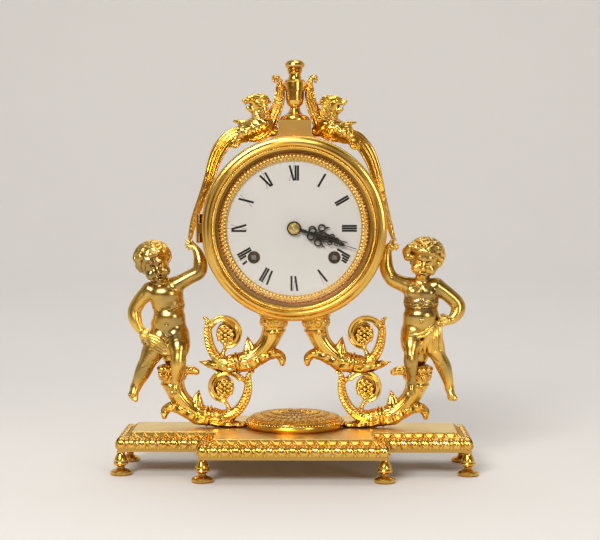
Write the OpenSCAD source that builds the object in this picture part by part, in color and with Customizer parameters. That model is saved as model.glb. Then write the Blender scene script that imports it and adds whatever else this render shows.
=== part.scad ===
/* [Plinth] */
// Width over the moulding of the wings
base_w = 253; // [240:1:266]
// Depth over the moulding of the middle bay
base_d = 131.6; // [124:0.2:140]
// Width over the moulding of the middle bay
bay_w = 132.8; // [124:0.2:140]
// Depth over the moulding of the wings
wing_d = 67.4; // [62:0.2:72]
// Height of the turned feet
foot_h = 17; // [15:0.5:19]
// Height of the plinth above the feet
base_h = 13; // [12:0.5:15]
// Across the flange of a foot
foot_d = 15.2; // [13:0.1:17]
// Across the round boss on the plinth
boss_d = 72; // [64:1:78]

/* [Clock drum] */
// Height of the dial's centre above the table
dial_z = 175.9; // [170:0.1:182]
// Outer diameter of the drum
drum_d = 125; // [122:1:127]
// Depth of the drum
drum_depth = 65; // [62:1:70]
// Thickness of the drum's wall
drum_wall = 2; // [1.5:0.1:2.5]
// Outer diameter of the bezel
bezel_d = 130.8; // [129:0.2:134]
// Visible diameter of the dial
dial_d = 95; // [92:0.5:97]
// Length of the hinge knuckles
knuckle_l = 20; // [16:1:24]

/* [Hands and winding] */
// Reach of the minute hand from its centre
minute_reach = 46; // [42:0.5:46.5]
// Reach of the hour hand from its centre
hour_reach = 38.8; // [35:0.2:40]
// Degrees past twelve of the minute hand
minute_at = 108.3; // [0:0.1:360]
// Degrees past twelve of the hour hand
hour_at = 104.8; // [0:0.1:360]
// Sideways distance of a winding square from the centre
wind_x = 28.4; // [27.5:0.1:29]
// Drop of a winding square below the centre
wind_z = 20.5; // [20:0.1:21]

/* [Hidden] */
fit = 0.05;
gap = 0.3;
top_z = foot_h + base_h;
drum_r = drum_d / 2;
bore_r = drum_r - drum_wall;
bezel_r = bezel_d / 2;
front_y = -31;
rear_y = front_y + drum_depth;
dial_y = front_y + 0.7;
dial_t = 1.2;
plate_x = 40;
plate_t = 1.5;
front_plate_y = -22;
back_plate_y = 14;
wind = [wind_x, -wind_z];
brass = "#d9a93c";
gilt = "#e0b04a";
dark_gilt = "#b98f3e";
bright = "#cfd2d4";
steel = "#8e9296";
black = "#17171a";
white = "#f3f1ea";
clear_blue = "#cfe4ee80";
$fn = 64;

// Frame helpers: everything on the drum is drawn round the dial's centre
module at_dial() {
    translate([0, 0, dial_z]) children();
}

// Moves a piece that turns about Y to a point [x, z] of the dial's plane
module at(p) {
    translate([p[0], 0, dial_z + p[1]]) children();
}

// A flat shape of the XZ plane, thick from y0 to y1
module slab_y(y0, y1) {
    translate([0, y1, 0]) rotate([90, 0, 0]) linear_extrude(y1 - y0) children();
}

// A round bar along Y
module bar_y(r, y0, y1, n = 48) {
    translate([0, y1, 0]) rotate([90, 0, 0]) cylinder(r = r, h = y1 - y0, $fn = n);
}

// The drum's outside as a cutter, whose flats lie on the drum's own curve
module drum_seat(n = 96) {
    at_dial() bar_y(drum_r / cos(180 / n), -20, 20, n);
}

// A turned shape about Y, from points [radius, y]
module turn_y(points) {
    rotate([90, 0, 0]) rotate_extrude($fn = 96) polygon([for (p = points) [p[0], -p[1]]]);
}

// Corner points of the cross-shaped plinth, drawn in by d
function cross_plan(d) = let(x = base_w / 2 - d, y = base_d / 2 - d, c = bay_w / 2 - d,
    w = wing_d / 2 - d) [[c, -y], [c, -w], [x, -w], [x, w], [c, w], [c, y],
    [-c, y], [-c, w], [-x, w], [-x, -w], [-c, -w], [-c, -y]];

// The cross as five rectangles of its corners: front bay, wing, rear bay, wing, middle
plan_faces = [[0, 1, 10, 11], [1, 2, 3, 4], [4, 5, 6, 7], [7, 8, 9, 10], [1, 4, 7, 10]];

// A solid that follows the plinth's plan, from a profile of [inset, z]
module moulded(profile) {
    count = len(profile);
    polyhedron(
        points = [for (p = profile) each [for (q = cross_plan(p[0])) [q[0], q[1], p[1]]]],
        faces = concat(
            plan_faces,
            [for (i = [0:count - 2]) each [for (k = [0:11])
                [12 * i + k, 12 * i + 12 + k, 12 * i + 12 + (k + 1) % 12, 12 * i + (k + 1) % 12]]],
            [for (f = plan_faces) [for (k = [3:-1:0]) 12 * (count - 1) + f[k]]]));
}

// A tube along points [x, y, z, half width in the XZ plane, half width along Y]
function path_dir(p, i) = let(a = p[max(i - 1, 0)], b = p[min(i + 1, len(p) - 1)],
    d = [b[0] - a[0], b[1] - a[1], b[2] - a[2]]) d / norm(d);
function ring_at(p, i, n) = let(t = path_dir(p, i), u = cross([0, 1, 0], t) / norm(cross([0, 1, 0], t)),
    v = cross(t, u)) [for (k = [0:n - 1]) let(a = 360 * k / n)
    [p[i][0], p[i][1], p[i][2]] + p[i][3] * cos(a) * u + p[i][4] * sin(a) * v];
module tube(p, n = 10) {
    count = len(p);
    polyhedron(
        points = [for (i = [0:count - 1]) each ring_at(p, i, n)],
        faces = concat(
            [[for (k = [0:n - 1]) k]],
            [for (i = [0:count - 2]) each [for (k = [0:n - 1]) each [
                [n * i + k, n * i + n + k, n * i + (k + 1) % n],
                [n * i + n + k, n * i + n + (k + 1) % n, n * i + (k + 1) % n]]]],
            [[for (k = [n - 1:-1:0]) n * (count - 1) + k]]));
}

// A limb between two balls [x, y, z, radius]
module limb(a, b, n = 11) {
    hull() {
        translate([a[0], a[1], a[2]]) sphere(r = a[3], $fn = n);
        translate([b[0], b[1], b[2]]) sphere(r = b[3], $fn = n);
    }
}

// Gear outline, tooth 0 on the X axis, with play in the tooth width
add = 0.8;
ded = 1.2;
tooth = 0.45;
function involute(a) = tan(a) * 180 / PI - a;
function half_at(r, n, m) = let(rb = n * m / 2 * cos(20))
    180 * tooth / n + involute(20) - (r > rb ? involute(acos(rb / r)) : 0);
function spoke(r, a) = [r * cos(a), r * sin(a)];
function gear_points(n, m) = let(rp = n * m / 2, rb = max(rp * cos(20), rp - ded * m + 0.01),
    ra = rp + add * m, rr = rp - ded * m, radii = [rr, rb, (rb + ra) / 2, ra])
    [for (i = [0:n - 1]) let(c = 360 * i / n) each concat(
        [for (k = [0:3]) spoke(radii[k], c - half_at(radii[k], n, m))],
        [for (k = [3:-1:0]) spoke(radii[k], c + half_at(radii[k], n, m))])];
module gear(n, m, turned = 0) {
    rotate(turned) polygon(gear_points(n, m));
}

// A crossed-out wheel: rim, hub and four spokes
module crossed_wheel(n, m, turned = 0, spokes = 4) {
    rp = n * m / 2;
    rim = rp - 2.4 * m - 0.6;
    difference() {
        gear(n, m, turned);
        difference() {
            circle(r = rim, $fn = 64);
            circle(r = max(rp * 0.22, 3), $fn = 32);
            for (k = [0:spokes - 1]) rotate(45 + 360 * k / spokes)
                translate([0, -rp * 0.05]) square([rim + 0.2, rp * 0.1]);
        }
    }
}

// Where two circles round a and b cross, on the side given by s
function meet(a, ra, b, rb, s) = let(d = norm(b - a), e = (b - a) / d,
    x = (d * d + ra * ra - rb * rb) / (2 * d), h = sqrt(ra * ra - x * x))
    a + x * e + s * h * [-e[1], e[0]];
function bearing(a, b) = atan2(b[1] - a[1], b[0] - a[0]);
function flip(p) = [-p[0], p[1]];

// Plinth
foot_in_x = 2.9;
wing_foot = [base_w / 2 - foot_in_x, wing_d / 2 - 5.4];
bay_foot = [bay_w / 2 - foot_in_x, base_d / 2 - 9.8];
stud_r = 1.5;
stud_l = 6;
screw_r = 2;
horn_x = 56;
module corner_posts(p, r) {
    for (x = [-1, 1], y = [-1, 1]) translate([x * p[0], y * p[1], 0]) circle(r = r);
}
module base_plate() {
    color(gilt) difference() {
        union() {
            difference() {
                moulded([[0.9, foot_h], [0.9, foot_h + 3], [0, foot_h + 3.2], [0, foot_h + 4.2],
                    [0.8, foot_h + 4.6], [1, foot_h + 5.6], [1.7, foot_h + 6.8],
                    [2.8, foot_h + 7.8], [4.2, foot_h + 8.4], [5, foot_h + 8.5],
                    [6.2, foot_h + 8.9], [7.8, foot_h + 9.9], [9.2, foot_h + 11.2],
                    [10.2, foot_h + 12.4], [10.4, top_z]]);
                translate([0, 0, foot_h - 1]) linear_extrude(6) polygon(cross_plan(4));
                translate([0, 0, foot_h - 1]) linear_extrude(8.4) polygon(cross_plan(8));
                translate([0, 0, foot_h - 1]) linear_extrude(base_h - 2.2) polygon(cross_plan(12));
            }
            translate([0, 0, foot_h]) linear_extrude(base_h - 3) intersection() {
                polygon(cross_plan(3.5));
                union() {
                    corner_posts(wing_foot, 5.5);
                    corner_posts(bay_foot, 5.5);
                }
            }
            translate([0, 0, foot_h + 5]) linear_extrude(base_h - 7) {
                circle(r = 5);
                for (x = [-1, 1]) translate([x * horn_x, 0]) circle(r = 5);
            }
        }
        translate([0, 0, foot_h - 1]) linear_extrude(stud_l + 1.5) {
            corner_posts(wing_foot, stud_r + fit);
            corner_posts(bay_foot, stud_r + fit);
        }
        translate([0, 0, foot_h]) linear_extrude(base_h + 1) {
            circle(r = screw_r + fit);
            for (x = [-1, 1]) translate([x * horn_x, 0]) circle(r = screw_r + fit);
        }
    }
}

// One turned foot with its stud
module foot() {
    r = foot_d / 2;
    color(gilt) rotate_extrude($fn = 48) polygon([[0, 0], [r - 0.8, 0], [r - 0.2, 0.5], [r, 1.4],
        [r - 0.1, 2.4], [r - 0.7, 3.3], [r - 2.2, 3.8], [3.4, 4.4], [2.7, 5.2], [2.6, 6.2],
        [3.3, 6.8], [4.7, 7.2], [5.3, 8], [5.4, 8.8], [5, 9.6], [4.6, 9.9], [4.7, 10.8],
        [4.4, 12], [3.7, 13.4], [3, 14.9], [2.8, 16], [3, foot_h], [stud_r, foot_h],
        [stud_r, foot_h + stud_l], [0, foot_h + stud_l]]);
}
module foot_set(p) {
    for (x = [-1, 1], y = [-1, 1]) translate([x * p[0], y * p[1], 0]) foot();
}
module wing_feet() {
    foot_set(wing_foot);
}
module bay_feet() {
    foot_set(bay_foot);
}

// Domed round boss on the plinth
module boss_patera() {
    r = boss_d / 2;
    dome = [for (a = [0:10:80]) [(r - 1.9) * cos(a), top_z + 5.6 + 7.3 * sin(a)]];
    color(gilt) difference() {
        rotate_extrude($fn = 72) polygon(concat([[0, top_z], [r - 0.6, top_z], [r, top_z + 0.5],
            [r, top_z + 3.6], [r - 0.5, top_z + 3.9], [r - 0.4, top_z + 4.9], [r - 1, top_z + 5.4]],
            dome, [[0, top_z + 12.9]]));
        translate([0, 0, top_z - 1]) rotate_extrude($fn = 72) polygon([[6, 0], [r - 3, 0],
            [r - 4, 5], [r * 0.6, 9], [6, 10]]);
        translate([0, 0, top_z - 1]) cylinder(r = screw_r + fit, h = 7);
    }
}

// Horn of plenty: ring at the origin, mouth towards -X, tail curling towards +X
rose_z = 20.2;
function rose_x(reach) = 10.4 * reach;
function horn_path(reach) = [
    [-26.4, 0, 33.2, 9.2, 9.2], [-26.2, 0, 28.3, 8.6, 8.6], [-24.9, 0, 21.5, 7.6, 7.6],
    [-21.8, 0, 14.5, 7, 7], [-16, 0, 8, 6.7, 6.9], [-8.5, 0, 2.8, 6.4, 6.8],
    [0, 0, 0, 6.2, 6.6], [7.5 * reach, 0, -1, 5.6, 6], [13.5 * reach, 0, 0.5, 4.8, 5.2],
    [19 * reach, 0, 4.8, 3.6, 4.6], [22.8 * reach, 0, 11.6, 2.8, 4.2],
    [24.6 * reach, 0, 19, 2.3, 3.8], [25 * reach, 0, 26, 1.8, 3], [25.8 * reach, 0, 31.6, 0.7, 1.4]];
function curl_path(reach) = [for (k = [0:12]) let(t = k / 12, a = -95 - 228 * t, r = 8 + 5.2 * t)
    [rose_x(reach) + r * cos(a), 0, rose_z + r * sin(a), 1.5, 4.2]];
module cornucopia(reach) {
    c = rose_x(reach);
    tube(horn_path(reach));
    tube(curl_path(reach), 8);
    // petalled mouth, collar, ring and rosette
    translate([-26.4, 0, 0]) rotate_extrude($fn = 20) polygon([[0, 31.6], [9.1, 31.6],
        [10.9, 34.8], [10.9, 36.6], [9, 36.6], [7.6, 35], [0, 34.6]]);
    translate([-26.3, 0, 26.7]) rotate(5) cylinder(r = 9.6, h = 1.7, $fn = 18);
    rotate([0, 80, 0]) translate([0, 0, -0.8]) cylinder(r = 7.4, h = 1.6, $fn = 16);
    translate([c, 3.6, rose_z]) rotate([90, 0, 0]) cylinder(r1 = 7, r2 = 6.4, h = 6.2, $fn = 16);
    translate([c, -2.4, rose_z]) rotate([90, 0, 0]) cylinder(r1 = 6, r2 = 2.4, h = 2, $fn = 12);
    // leaves that curl off the horn
    limb([-14, 0, 3.5, 4], [-22, 0, 3.8, 3], 7);
    limb([-22, 0, 3.8, 3], [-30, 0, 5.6, 2.4], 7);
    limb([-30, 0, 5.6, 2.4], [-32.2, 0, 1, 1.5], 7);
    limb([-13, 0, 11, 4], [-10.5, 0, 17, 0.8], 7);
    limb([12 * reach, 0, -1, 4.2], [23 * reach, 0, -2.2 - 3 * (1 - reach), 1], 7);
    limb([11.6 * reach, 0, 4, 1.9], [c - 0.9, 0.2, rose_z - 6.4, 1.4], 7);
    limb([24.4 * reach, 0, 24, 2], [c + 8.5 * reach, 0, rose_z + 9, 1.6], 7);
    limb([3, -3, 1, 3.6], [-12, -3, 7, 3.6], 7);
}
upper_ring = [41.5, 77.3];
horns_meet = [50.5, 70.6];
lower_ring = [62.7, 38.2];
upper_reach = 0.86;
lower_reach = 1.14;
horn_mouth_x = upper_ring[0] - 26.4;
module cornucopia_lower() {
    color(gilt) difference() {
        union() {
            translate([-lower_ring[0], 0, lower_ring[1]]) cornucopia(lower_reach);
            limb([-horn_x, 0, top_z + 3.2, 3.4], [-boss_d / 2 - 1, 0, top_z + 2, 1.6], 8);
        }
        translate([-horn_x, 0, top_z - 10]) cube([30, 30, 20], center = true);
        translate([-boss_d / 2 + 14.9, 0, top_z]) cube([30, 30, 30], center = true);
        translate([-horns_meet[0], 0, horns_meet[1] + 10]) cube([20, 30, 20], center = true);
        translate([-horn_x, 0, top_z - 1]) cylinder(r = screw_r + fit, h = 6, $fn = 24);
    }
}
module cornucopia_upper() {
    color(gilt) difference() {
        union() {
            translate([-upper_ring[0], 0, upper_ring[1]]) mirror([1, 0, 0]) cornucopia(upper_reach);
            limb([-horns_meet[0], 0, 74, 4], [-horns_meet[0], 0, 71.2, 3.2], 8);
            translate([-horn_mouth_x, 0, 109.3]) rotate(4) cylinder(r = 8, h = 14, $fn = 22);
        }
        drum_seat();
        translate([-horns_meet[0], 0, horns_meet[1] - 10]) cube([30, 30, 20], center = true);
        translate([-horn_mouth_x, 0, 106]) rotate(9) cylinder(r = screw_r + fit, h = 20, $fn = 16);
    }
}
module cornucopia_lower_left() {
    cornucopia_lower();
}
module cornucopia_lower_right() {
    mirror([1, 0, 0]) cornucopia_lower();
}
module cornucopia_upper_left() {
    cornucopia_upper();
}
module cornucopia_upper_right() {
    mirror([1, 0, 0]) cornucopia_upper();
}

// Height where the raised hands meet the ends of the straps
strap_end = 167;
hand_r = 2.6;
hand_z = strap_end - hand_r;

// A standing child figure, from a list of its joints [x, y, z, radius]
module putto(head, chin, neck, shoulders, up_arm, down_arm, trunk, in_leg, out_leg, seat) {
    color(dark_gilt) {
        translate([head[0], head[1], head[2]]) scale([1, 1, 1.12]) sphere(r = head[3], $fn = 18);
        limb(head * 0.35 + chin * 0.65, chin);
        limb(chin, neck);
        limb(shoulders[0], shoulders[1]);
        limb(seat[0], seat[1]);
        for (chain = [up_arm, down_arm, in_leg, out_leg]) for (i = [0:len(chain) - 2])
            limb(chain[i], chain[i + 1]);
        for (i = [0:len(trunk) - 2]) hull() {
            for (j = [i, i + 1]) translate([trunk[j][0], trunk[j][1], trunk[j][2]])
                scale([1, 0.74, 0.8]) sphere(r = trunk[j][3], $fn = 14);
        }
    }
}
module putto_left() {
    putto(head = [-101.2, -6, 153, 13.2], chin = [-98.2, -9, 140.5, 4], neck = [-96, -4, 135, 4.4],
        shoulders = [[-105, -4, 130.5, 4.8], [-85, -4, 134.5, 5]],
        up_arm = [[-85, -4, 134.5, 4.8], [-68.6, -4, 143.5, 4.4], [-72, -3, 159, 2.9],
            [-75.4, -1, hand_z, hand_r]],
        down_arm = [[-105, -4, 130.5, 4.8], [-115.8, -4, 115, 4.2], [-110.4, -7, 101, 3],
            [-105.4, -9, 98.3, 2.8]],
        trunk = [[-95, -4, 128, 11.4], [-91.5, -4, 117, 11], [-90, -4, 108, 11.8],
            [-90.6, -3, 99, 13.4]],
        in_leg = [[-84.6, -7, 95, 8.2], [-84.2, -15.5, 80.5, 5], [-85.9, -13.6, 65, 2.7],
            [-86.6, -10.9, 58.6, 2.7]],
        out_leg = [[-98.4, -4, 93, 8.4], [-107, -7, 78.5, 5.6], [-114.8, -3, 61, 3.2],
            [-117.2, -5, 53, 2.6]],
        seat = [[-89, 2, 92, 8], [-89, 1.4, 82.5, 7.4]]);
}
module putto_right() {
    putto(head = [94, -6, 154.6, 13.2], chin = [92, -9, 143.5, 4], neck = [91.8, -4, 138, 4.4],
        shoulders = [[102, -4, 133.5, 4.8], [81.5, -4, 134, 5]],
        up_arm = [[81.5, -4, 134, 4.8], [69.6, -4, 138.5, 4.4], [67.4, -3, 156, 2.9],
            [71.4, -1, hand_z, hand_r]],
        down_arm = [[102, -4, 133.5, 4.8], [118.4, -4, 119.5, 4.2], [113.4, -7, 108, 3],
            [108, -9, 109, 2.8]],
        trunk = [[91.4, -4, 130, 11.8], [91, -4, 119, 11.4], [91, -4, 110, 12],
            [92, -3, 101, 13.2]],
        in_leg = [[85.6, -7, 97, 7.8], [83.8, -15.5, 82, 5], [83.8, -13.6, 65, 2.7],
            [84.4, -10.9, 58, 2.7]],
        out_leg = [[98.4, -4, 95, 8.2], [103.4, -7, 79.5, 5.4], [111, -3, 61.5, 3.1],
            [113.6, -5, 52.6, 2.5]],
        seat = [[90, 2, 93, 8], [89, 1.4, 82.5, 7.4]]);
}

// Winged creature and the strap that falls from it to the raised hand
wing_path = [[-20, 0, 249, 3.4, 4], [-16.9, 0, 255.5, 3.3, 3.4], [-13.6, 0, 262, 3.2, 3],
    [-11.6, 0, 269, 3.1, 2.6], [-10.8, 0, 276, 2.7, 2.4], [-11.2, 0, 281.5, 2, 2.2],
    [-12.6, 0, 284.4, 1.1, 1.6]];
strap_left = [[-38, 0, 243.5, 4.4, 5], [-46.5, 0, 240.3, 5.2, 6], [-53.2, 0, 233, 5.2, 6],
    [-58, 0, 223, 4.6, 6], [-61.6, 0, 211, 3.9, 5.6], [-67.2, 0, 196, 3.2, 4.8],
    [-72.8, 0, 181, 2.5, 3.6], [-76.2, 0, strap_end, 1.8, 2.6]];
strap_right = [[38, 0, 242.5, 4.4, 5], [46, 0, 238, 5.2, 6], [52.2, 0, 230, 5.2, 6],
    [56.8, 0, 219.5, 4.6, 6], [60, 0, 208, 3.9, 5.6], [63.4, 0, 195, 3.2, 4.8],
    [67.2, 0, 181, 2.5, 3.6], [71.6, 0, strap_end, 1.8, 2.6]];
module creature(lift) {
    tube(wing_path, 8);
    limb([-12.8, 0, 282.8, 1.4], [-13.2, 0, 280.4, 1.3], 8);
    translate([0, 0, lift]) {
        limb([-20, 0, 249.5, 5.6], [-29, 0, 245.5, 6.8], 11);
        limb([-29, 0, 245.5, 6.8], [-38, 0, 242.5, 5.6], 11);
        limb([-38, 0, 242.5, 5.6], [-43, -2, 238.5, 3.4], 10);
        limb([-22, -1, 250, 4.6], [-24.6, -2, 260.5, 4], 10);
        limb([-24.6, -2, 263.6, 4.8], [-29, -5, 265, 3.6], 10);
        limb([-29, -5, 265, 3.6], [-34.6, -8, 264.6, 1.6], 10);
        limb([-24, 0, 266, 3.6], [-20.6, 2, 263.4, 1.8], 8);
        limb([-27.6, -3.6, 260.6, 2.2], [-31.4, -6, 260.4, 1.2], 8);
        limb([-36, 0, 248, 3], [-42.6, 0, 251.2, 0.9], 8);
        translate([-42.9, -3, 236.6]) rotate([90, 0, 0]) cylinder(r = 3.5, h = 3.6, $fn = 16);
    }
    limb([-18.4, 0, 243.5, 3.4], [-13, 0, 244.5, 3], 8);
}
module crest_left() {
    color(gilt) difference() {
        union() {
            creature(0);
            tube(strap_left, 8);
        }
        pedestal_keepout();
        strap_cut(-76.2);
    }
}
module crest_right() {
    color(gilt) difference() {
        union() {
            mirror([1, 0, 0]) creature(-1);
            tube(strap_right, 8);
        }
        pedestal_keepout();
        strap_cut(71.6);
    }
}

// Pedestal block, saddled on the drum
block_top = 252.8;
block_w = 23.6;
block_d = 23;
module block_outline() {
    h = block_w / 2;
    low = dial_z + drum_r - 3;
    polygon(concat([[-h - 4, low], [h + 4, low], [h + 4, low + 5]],
        [for (a = [0:15:90]) [h + 3.4 - 3.4 * sin(a), low + 10 - 4.4 * cos(a)]], [[h, block_top],
        [-h, block_top]], [for (a = [90:-15:0]) [-h - 3.4 + 3.4 * sin(a), low + 10 - 4.4 * cos(a)]],
        [[-h - 4, low + 5]]));
}
module strap_cut(x) {
    translate([x, 0, strap_end - 10]) cube([16, 16, 20], center = true);
}
module pedestal_keepout() {
    slab_y(-block_d / 2, block_d / 2) block_outline();
    drum_seat();
}
rod_r = 1.5;
module pedestal_block() {
    color(gilt) difference() {
        slab_y(-block_d / 2, block_d / 2) block_outline();
        drum_seat();
        translate([0, 0, block_top - 20]) cylinder(r = rod_r + fit, h = 30, $fn = 32);
    }
}

// Turned urn in four pieces on a threaded rod
module urn_body() {
    color(gilt) rotate_extrude($fn = 64) polygon([[rod_r + fit, block_top], [11, block_top],
        [11, block_top + 0.9], [10.3, block_top + 1.2], [10, block_top + 2.2],
        [8.6, block_top + 3.2], [6.2, block_top + 4.2], [4.4, block_top + 6], [3.7, block_top + 8],
        [3.8, block_top + 9.4], [4.7, block_top + 9.8], [5.6, block_top + 11.2],
        [6.3, block_top + 14], [6.5, block_top + 17.4], [6.6, block_top + 20.6],
        [7.5, block_top + 21], [7.6, block_top + 24], [7.5, block_top + 27],
        [rod_r + fit, block_top + 27]]);
}
module urn_lid() {
    color(gilt) rotate_extrude($fn = 64) polygon([[rod_r + fit, block_top + 27],
        [7.2, block_top + 27], [7.4, block_top + 27.8], [6.8, block_top + 28.6],
        [4.8, block_top + 29.4], [4.4, block_top + 31], [4.4, block_top + 33],
        [4.9, block_top + 34], [rod_r + fit, block_top + 34]]);
}
module finial_knob() {
    z = block_top + 34;
    color(gilt) rotate_extrude($fn = 64) polygon([[rod_r + fit, z], [4.6, z], [5.4, z + 0.9],
        [5.5, z + 2], [5, z + 3], [5.8, z + 3.2], [6.8, z + 4], [7.1, z + 5.2], [6.8, z + 6.6],
        [5.6, z + 8], [3.6, z + 8.9], [0, z + 9.2], [0, z + 6], [rod_r + fit, z + 6]]);
}
module urn_rod() {
    low = dial_z + bore_r - 4;
    color(steel) {
        translate([0, 0, low]) cylinder(r = rod_r, h = block_top + 39.5 - low, $fn = 32);
        translate([0, 0, dial_z + bore_r - 3]) difference() {
            cylinder(r = 4, h = 2.6, $fn = 6);
            translate([0, 0, -1]) cylinder(r = rod_r - 0.05, h = 5, $fn = 32);
        }
    }
}

// Screws that hold the castings: boss, lower horns, upper horns and crests
module cap_screw(r, l) {
    cylinder(r = r, h = l, $fn = 32);
    translate([0, 0, -2]) cylinder(r = r * 1.9, h = 2, $fn = 32);
}
module mount_screws() {
    color(steel) {
        for (x = [-horn_x, 0, horn_x]) translate([x, 0, foot_h + 5]) cap_screw(screw_r, base_h - 1);
        for (x = [-1, 1]) translate([x * horn_mouth_x, 0, dial_z - 57.4]) rotate([0, 180, 0])
            cap_screw(screw_r, 7.4);
    }
}

// Drum
knuckle_r = 1.7;
pin_r = 0.8;
hinge_x = -bezel_r - knuckle_r - gap;
hinge_y = front_y - 0.8;
door_x = drum_r + knuckle_r + gap;
door_y = rear_y + 0.4;
module knuckle(z0, z1, r = knuckle_r) {
    translate([0, 0, z0]) cylinder(r = r, h = z1 - z0, $fn = 32);
}
module drum_case() {
    third = knuckle_l / 3;
    color(gilt) difference() {
        union() {
            at_dial() turn_y([[bore_r, front_y + 0.7], [bezel_r - 1.2, front_y],
                [bezel_r - 1.2, front_y + 1.6], [drum_r, front_y + 2.6], [drum_r, rear_y],
                [drum_r - 6, rear_y], [drum_r - 6, rear_y - 1.6], [bore_r, rear_y - 1.6],
                [bore_r, front_y + 0.7]]);
            translate([hinge_x, hinge_y, dial_z]) for (s = [-1, 1]) {
                knuckle(s > 0 ? third / 2 + 0.15 : -knuckle_l / 2, s > 0 ? knuckle_l / 2 : -third / 2 - 0.15);
                translate([0, 0.85, s > 0 ? third / 2 + 0.15 : -knuckle_l / 2])
                    cube([4.9, 0.75, third - 0.15]);
            }
            translate([door_x, door_y, dial_z]) for (s = [-1, 1]) {
                knuckle(s > 0 ? third / 2 + 0.15 : -knuckle_l / 2, s > 0 ? knuckle_l / 2 : -third / 2 - 0.15);
                translate([-3.6, -1.6, s > 0 ? third / 2 + 0.15 : -knuckle_l / 2])
                    cube([3.6, 1.2, third - 0.15]);
            }
        }
        translate([hinge_x, hinge_y, dial_z - 20]) cylinder(r = pin_r, h = 40, $fn = 24);
        translate([door_x, door_y, dial_z - 20]) cylinder(r = pin_r, h = 40, $fn = 24);
        translate([0, 0, dial_z + bore_r - 5]) cylinder(r = rod_r + fit, h = 10, $fn = 32);
        for (x = [-1, 1]) translate([x * horn_mouth_x, 0, dial_z - drum_r - 3])
            cylinder(r = screw_r + fit, h = 12, $fn = 32);
    }
}
module bezel_pin() {
    color(steel) translate([hinge_x, hinge_y, dial_z]) knuckle(-knuckle_l / 2 - 0.6, knuckle_l / 2 + 0.6, pin_r);
}
module door_pin() {
    color(steel) translate([door_x, door_y, dial_z]) knuckle(-knuckle_l / 2 - 0.6, knuckle_l / 2 + 0.6, pin_r);
}

// Bezel, its glass and the ring that keeps the glass in
back_of_bezel = front_y - gap;
glass_r = bezel_r - 8;
module bezel() {
    b = back_of_bezel;
    r = bezel_r;
    third = knuckle_l / 3;
    color(gilt) difference() {
        union() {
            at_dial() turn_y([[glass_r + fit, b], [r - 0.4, b], [r, b - 0.5], [r, b - 2],
                [r - 0.6, b - 3.4], [r - 1.8, b - 4.6], [r - 2.8, b - 4.9], [r - 3.4, b - 5.6],
                [r - 4.4, b - 6.9], [r - 5.8, b - 7.5], [r - 7, b - 7.2], [r - 7.5, b - 6.4],
                [r - 8.2, b - 6.7], [r - 9.2, b - 6.3], [r - 10, b - 5.2], [r - 10, b - 4.2],
                [glass_r + fit, b - 4.2]]);
            translate([hinge_x, hinge_y, dial_z]) {
                knuckle(-third / 2, third / 2);
                translate([0, -1.7, -third / 2]) cube([3.9, 1.1, third]);
            }
        }
        translate([hinge_x, hinge_y, dial_z - 20]) cylinder(r = pin_r + fit, h = 40, $fn = 24);
    }
}
module bezel_glass() {
    b = back_of_bezel - 2.6;
    rim = glass_r - 2.2;
    color(clear_blue) at_dial() turn_y(concat([[0, b - 2.4]],
        [for (k = [1:8]) [rim * k / 8, b - 2.4 * (1 - pow(k / 8, 2))]],
        [[glass_r, b], [glass_r, b - 1.6], [rim, b - 1.6]],
        [for (k = [7:-1:1]) [rim * k / 8, b - 1.6 - 2.4 * (1 - pow(k / 8, 2))]], [[0, b - 4]]));
}
module glass_ring() {
    b = back_of_bezel;
    color(brass) at_dial() turn_y([[glass_r, b - 2.6], [glass_r - 1.8, b - 2.6],
        [glass_r - 1.8, b - 1.8], [glass_r - 0.9, b - 0.9], [glass_r, b - 0.9]]);
}

// Sight ring round the dial
module sight_ring() {
    r = dial_d / 2;
    color(brass) at_dial() turn_y([[r, dial_y], [r, dial_y - 0.7], [r + 1.2, dial_y - 0.9],
        [r + 4.8, dial_y - 2.4], [r + 5.6, dial_y - 2.4], [r + 6.2, dial_y - 1], [r + 6.2, dial_y - 0.7],
        [bore_r, dial_y - 0.7], [bore_r, dial_y]]);
}
grommet_r = 4.4;
module dial() {
    color(white) at_dial() slab_y(dial_y, dial_y + dial_t) difference() {
        circle(r = dial_d / 2 + 6, $fn = 96);
        circle(r = 3.4, $fn = 32);
        for (s = [-1, 1]) translate([s * wind_x, -wind_z]) circle(r = grommet_r - 0.7, $fn = 32);
    }
}
module dial_feet() {
    color(brass) for (a = [60, 180, 300]) at([36 * sin(a), 36 * cos(a)])
        bar_y(1.4, dial_y + dial_t, front_plate_y + plate_t);
}
module winding_grommets() {
    color(steel) for (s = [-1, 1]) at([s * wind_x, -wind_z]) turn_y([[3, dial_y - 0.6],
        [grommet_r - 0.3, dial_y - 0.6], [grommet_r, dial_y - 0.3], [grommet_r, dial_y],
        [grommet_r - 0.7, dial_y], [grommet_r - 0.7, dial_y + dial_t], [3, dial_y + dial_t]]);
}

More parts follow.
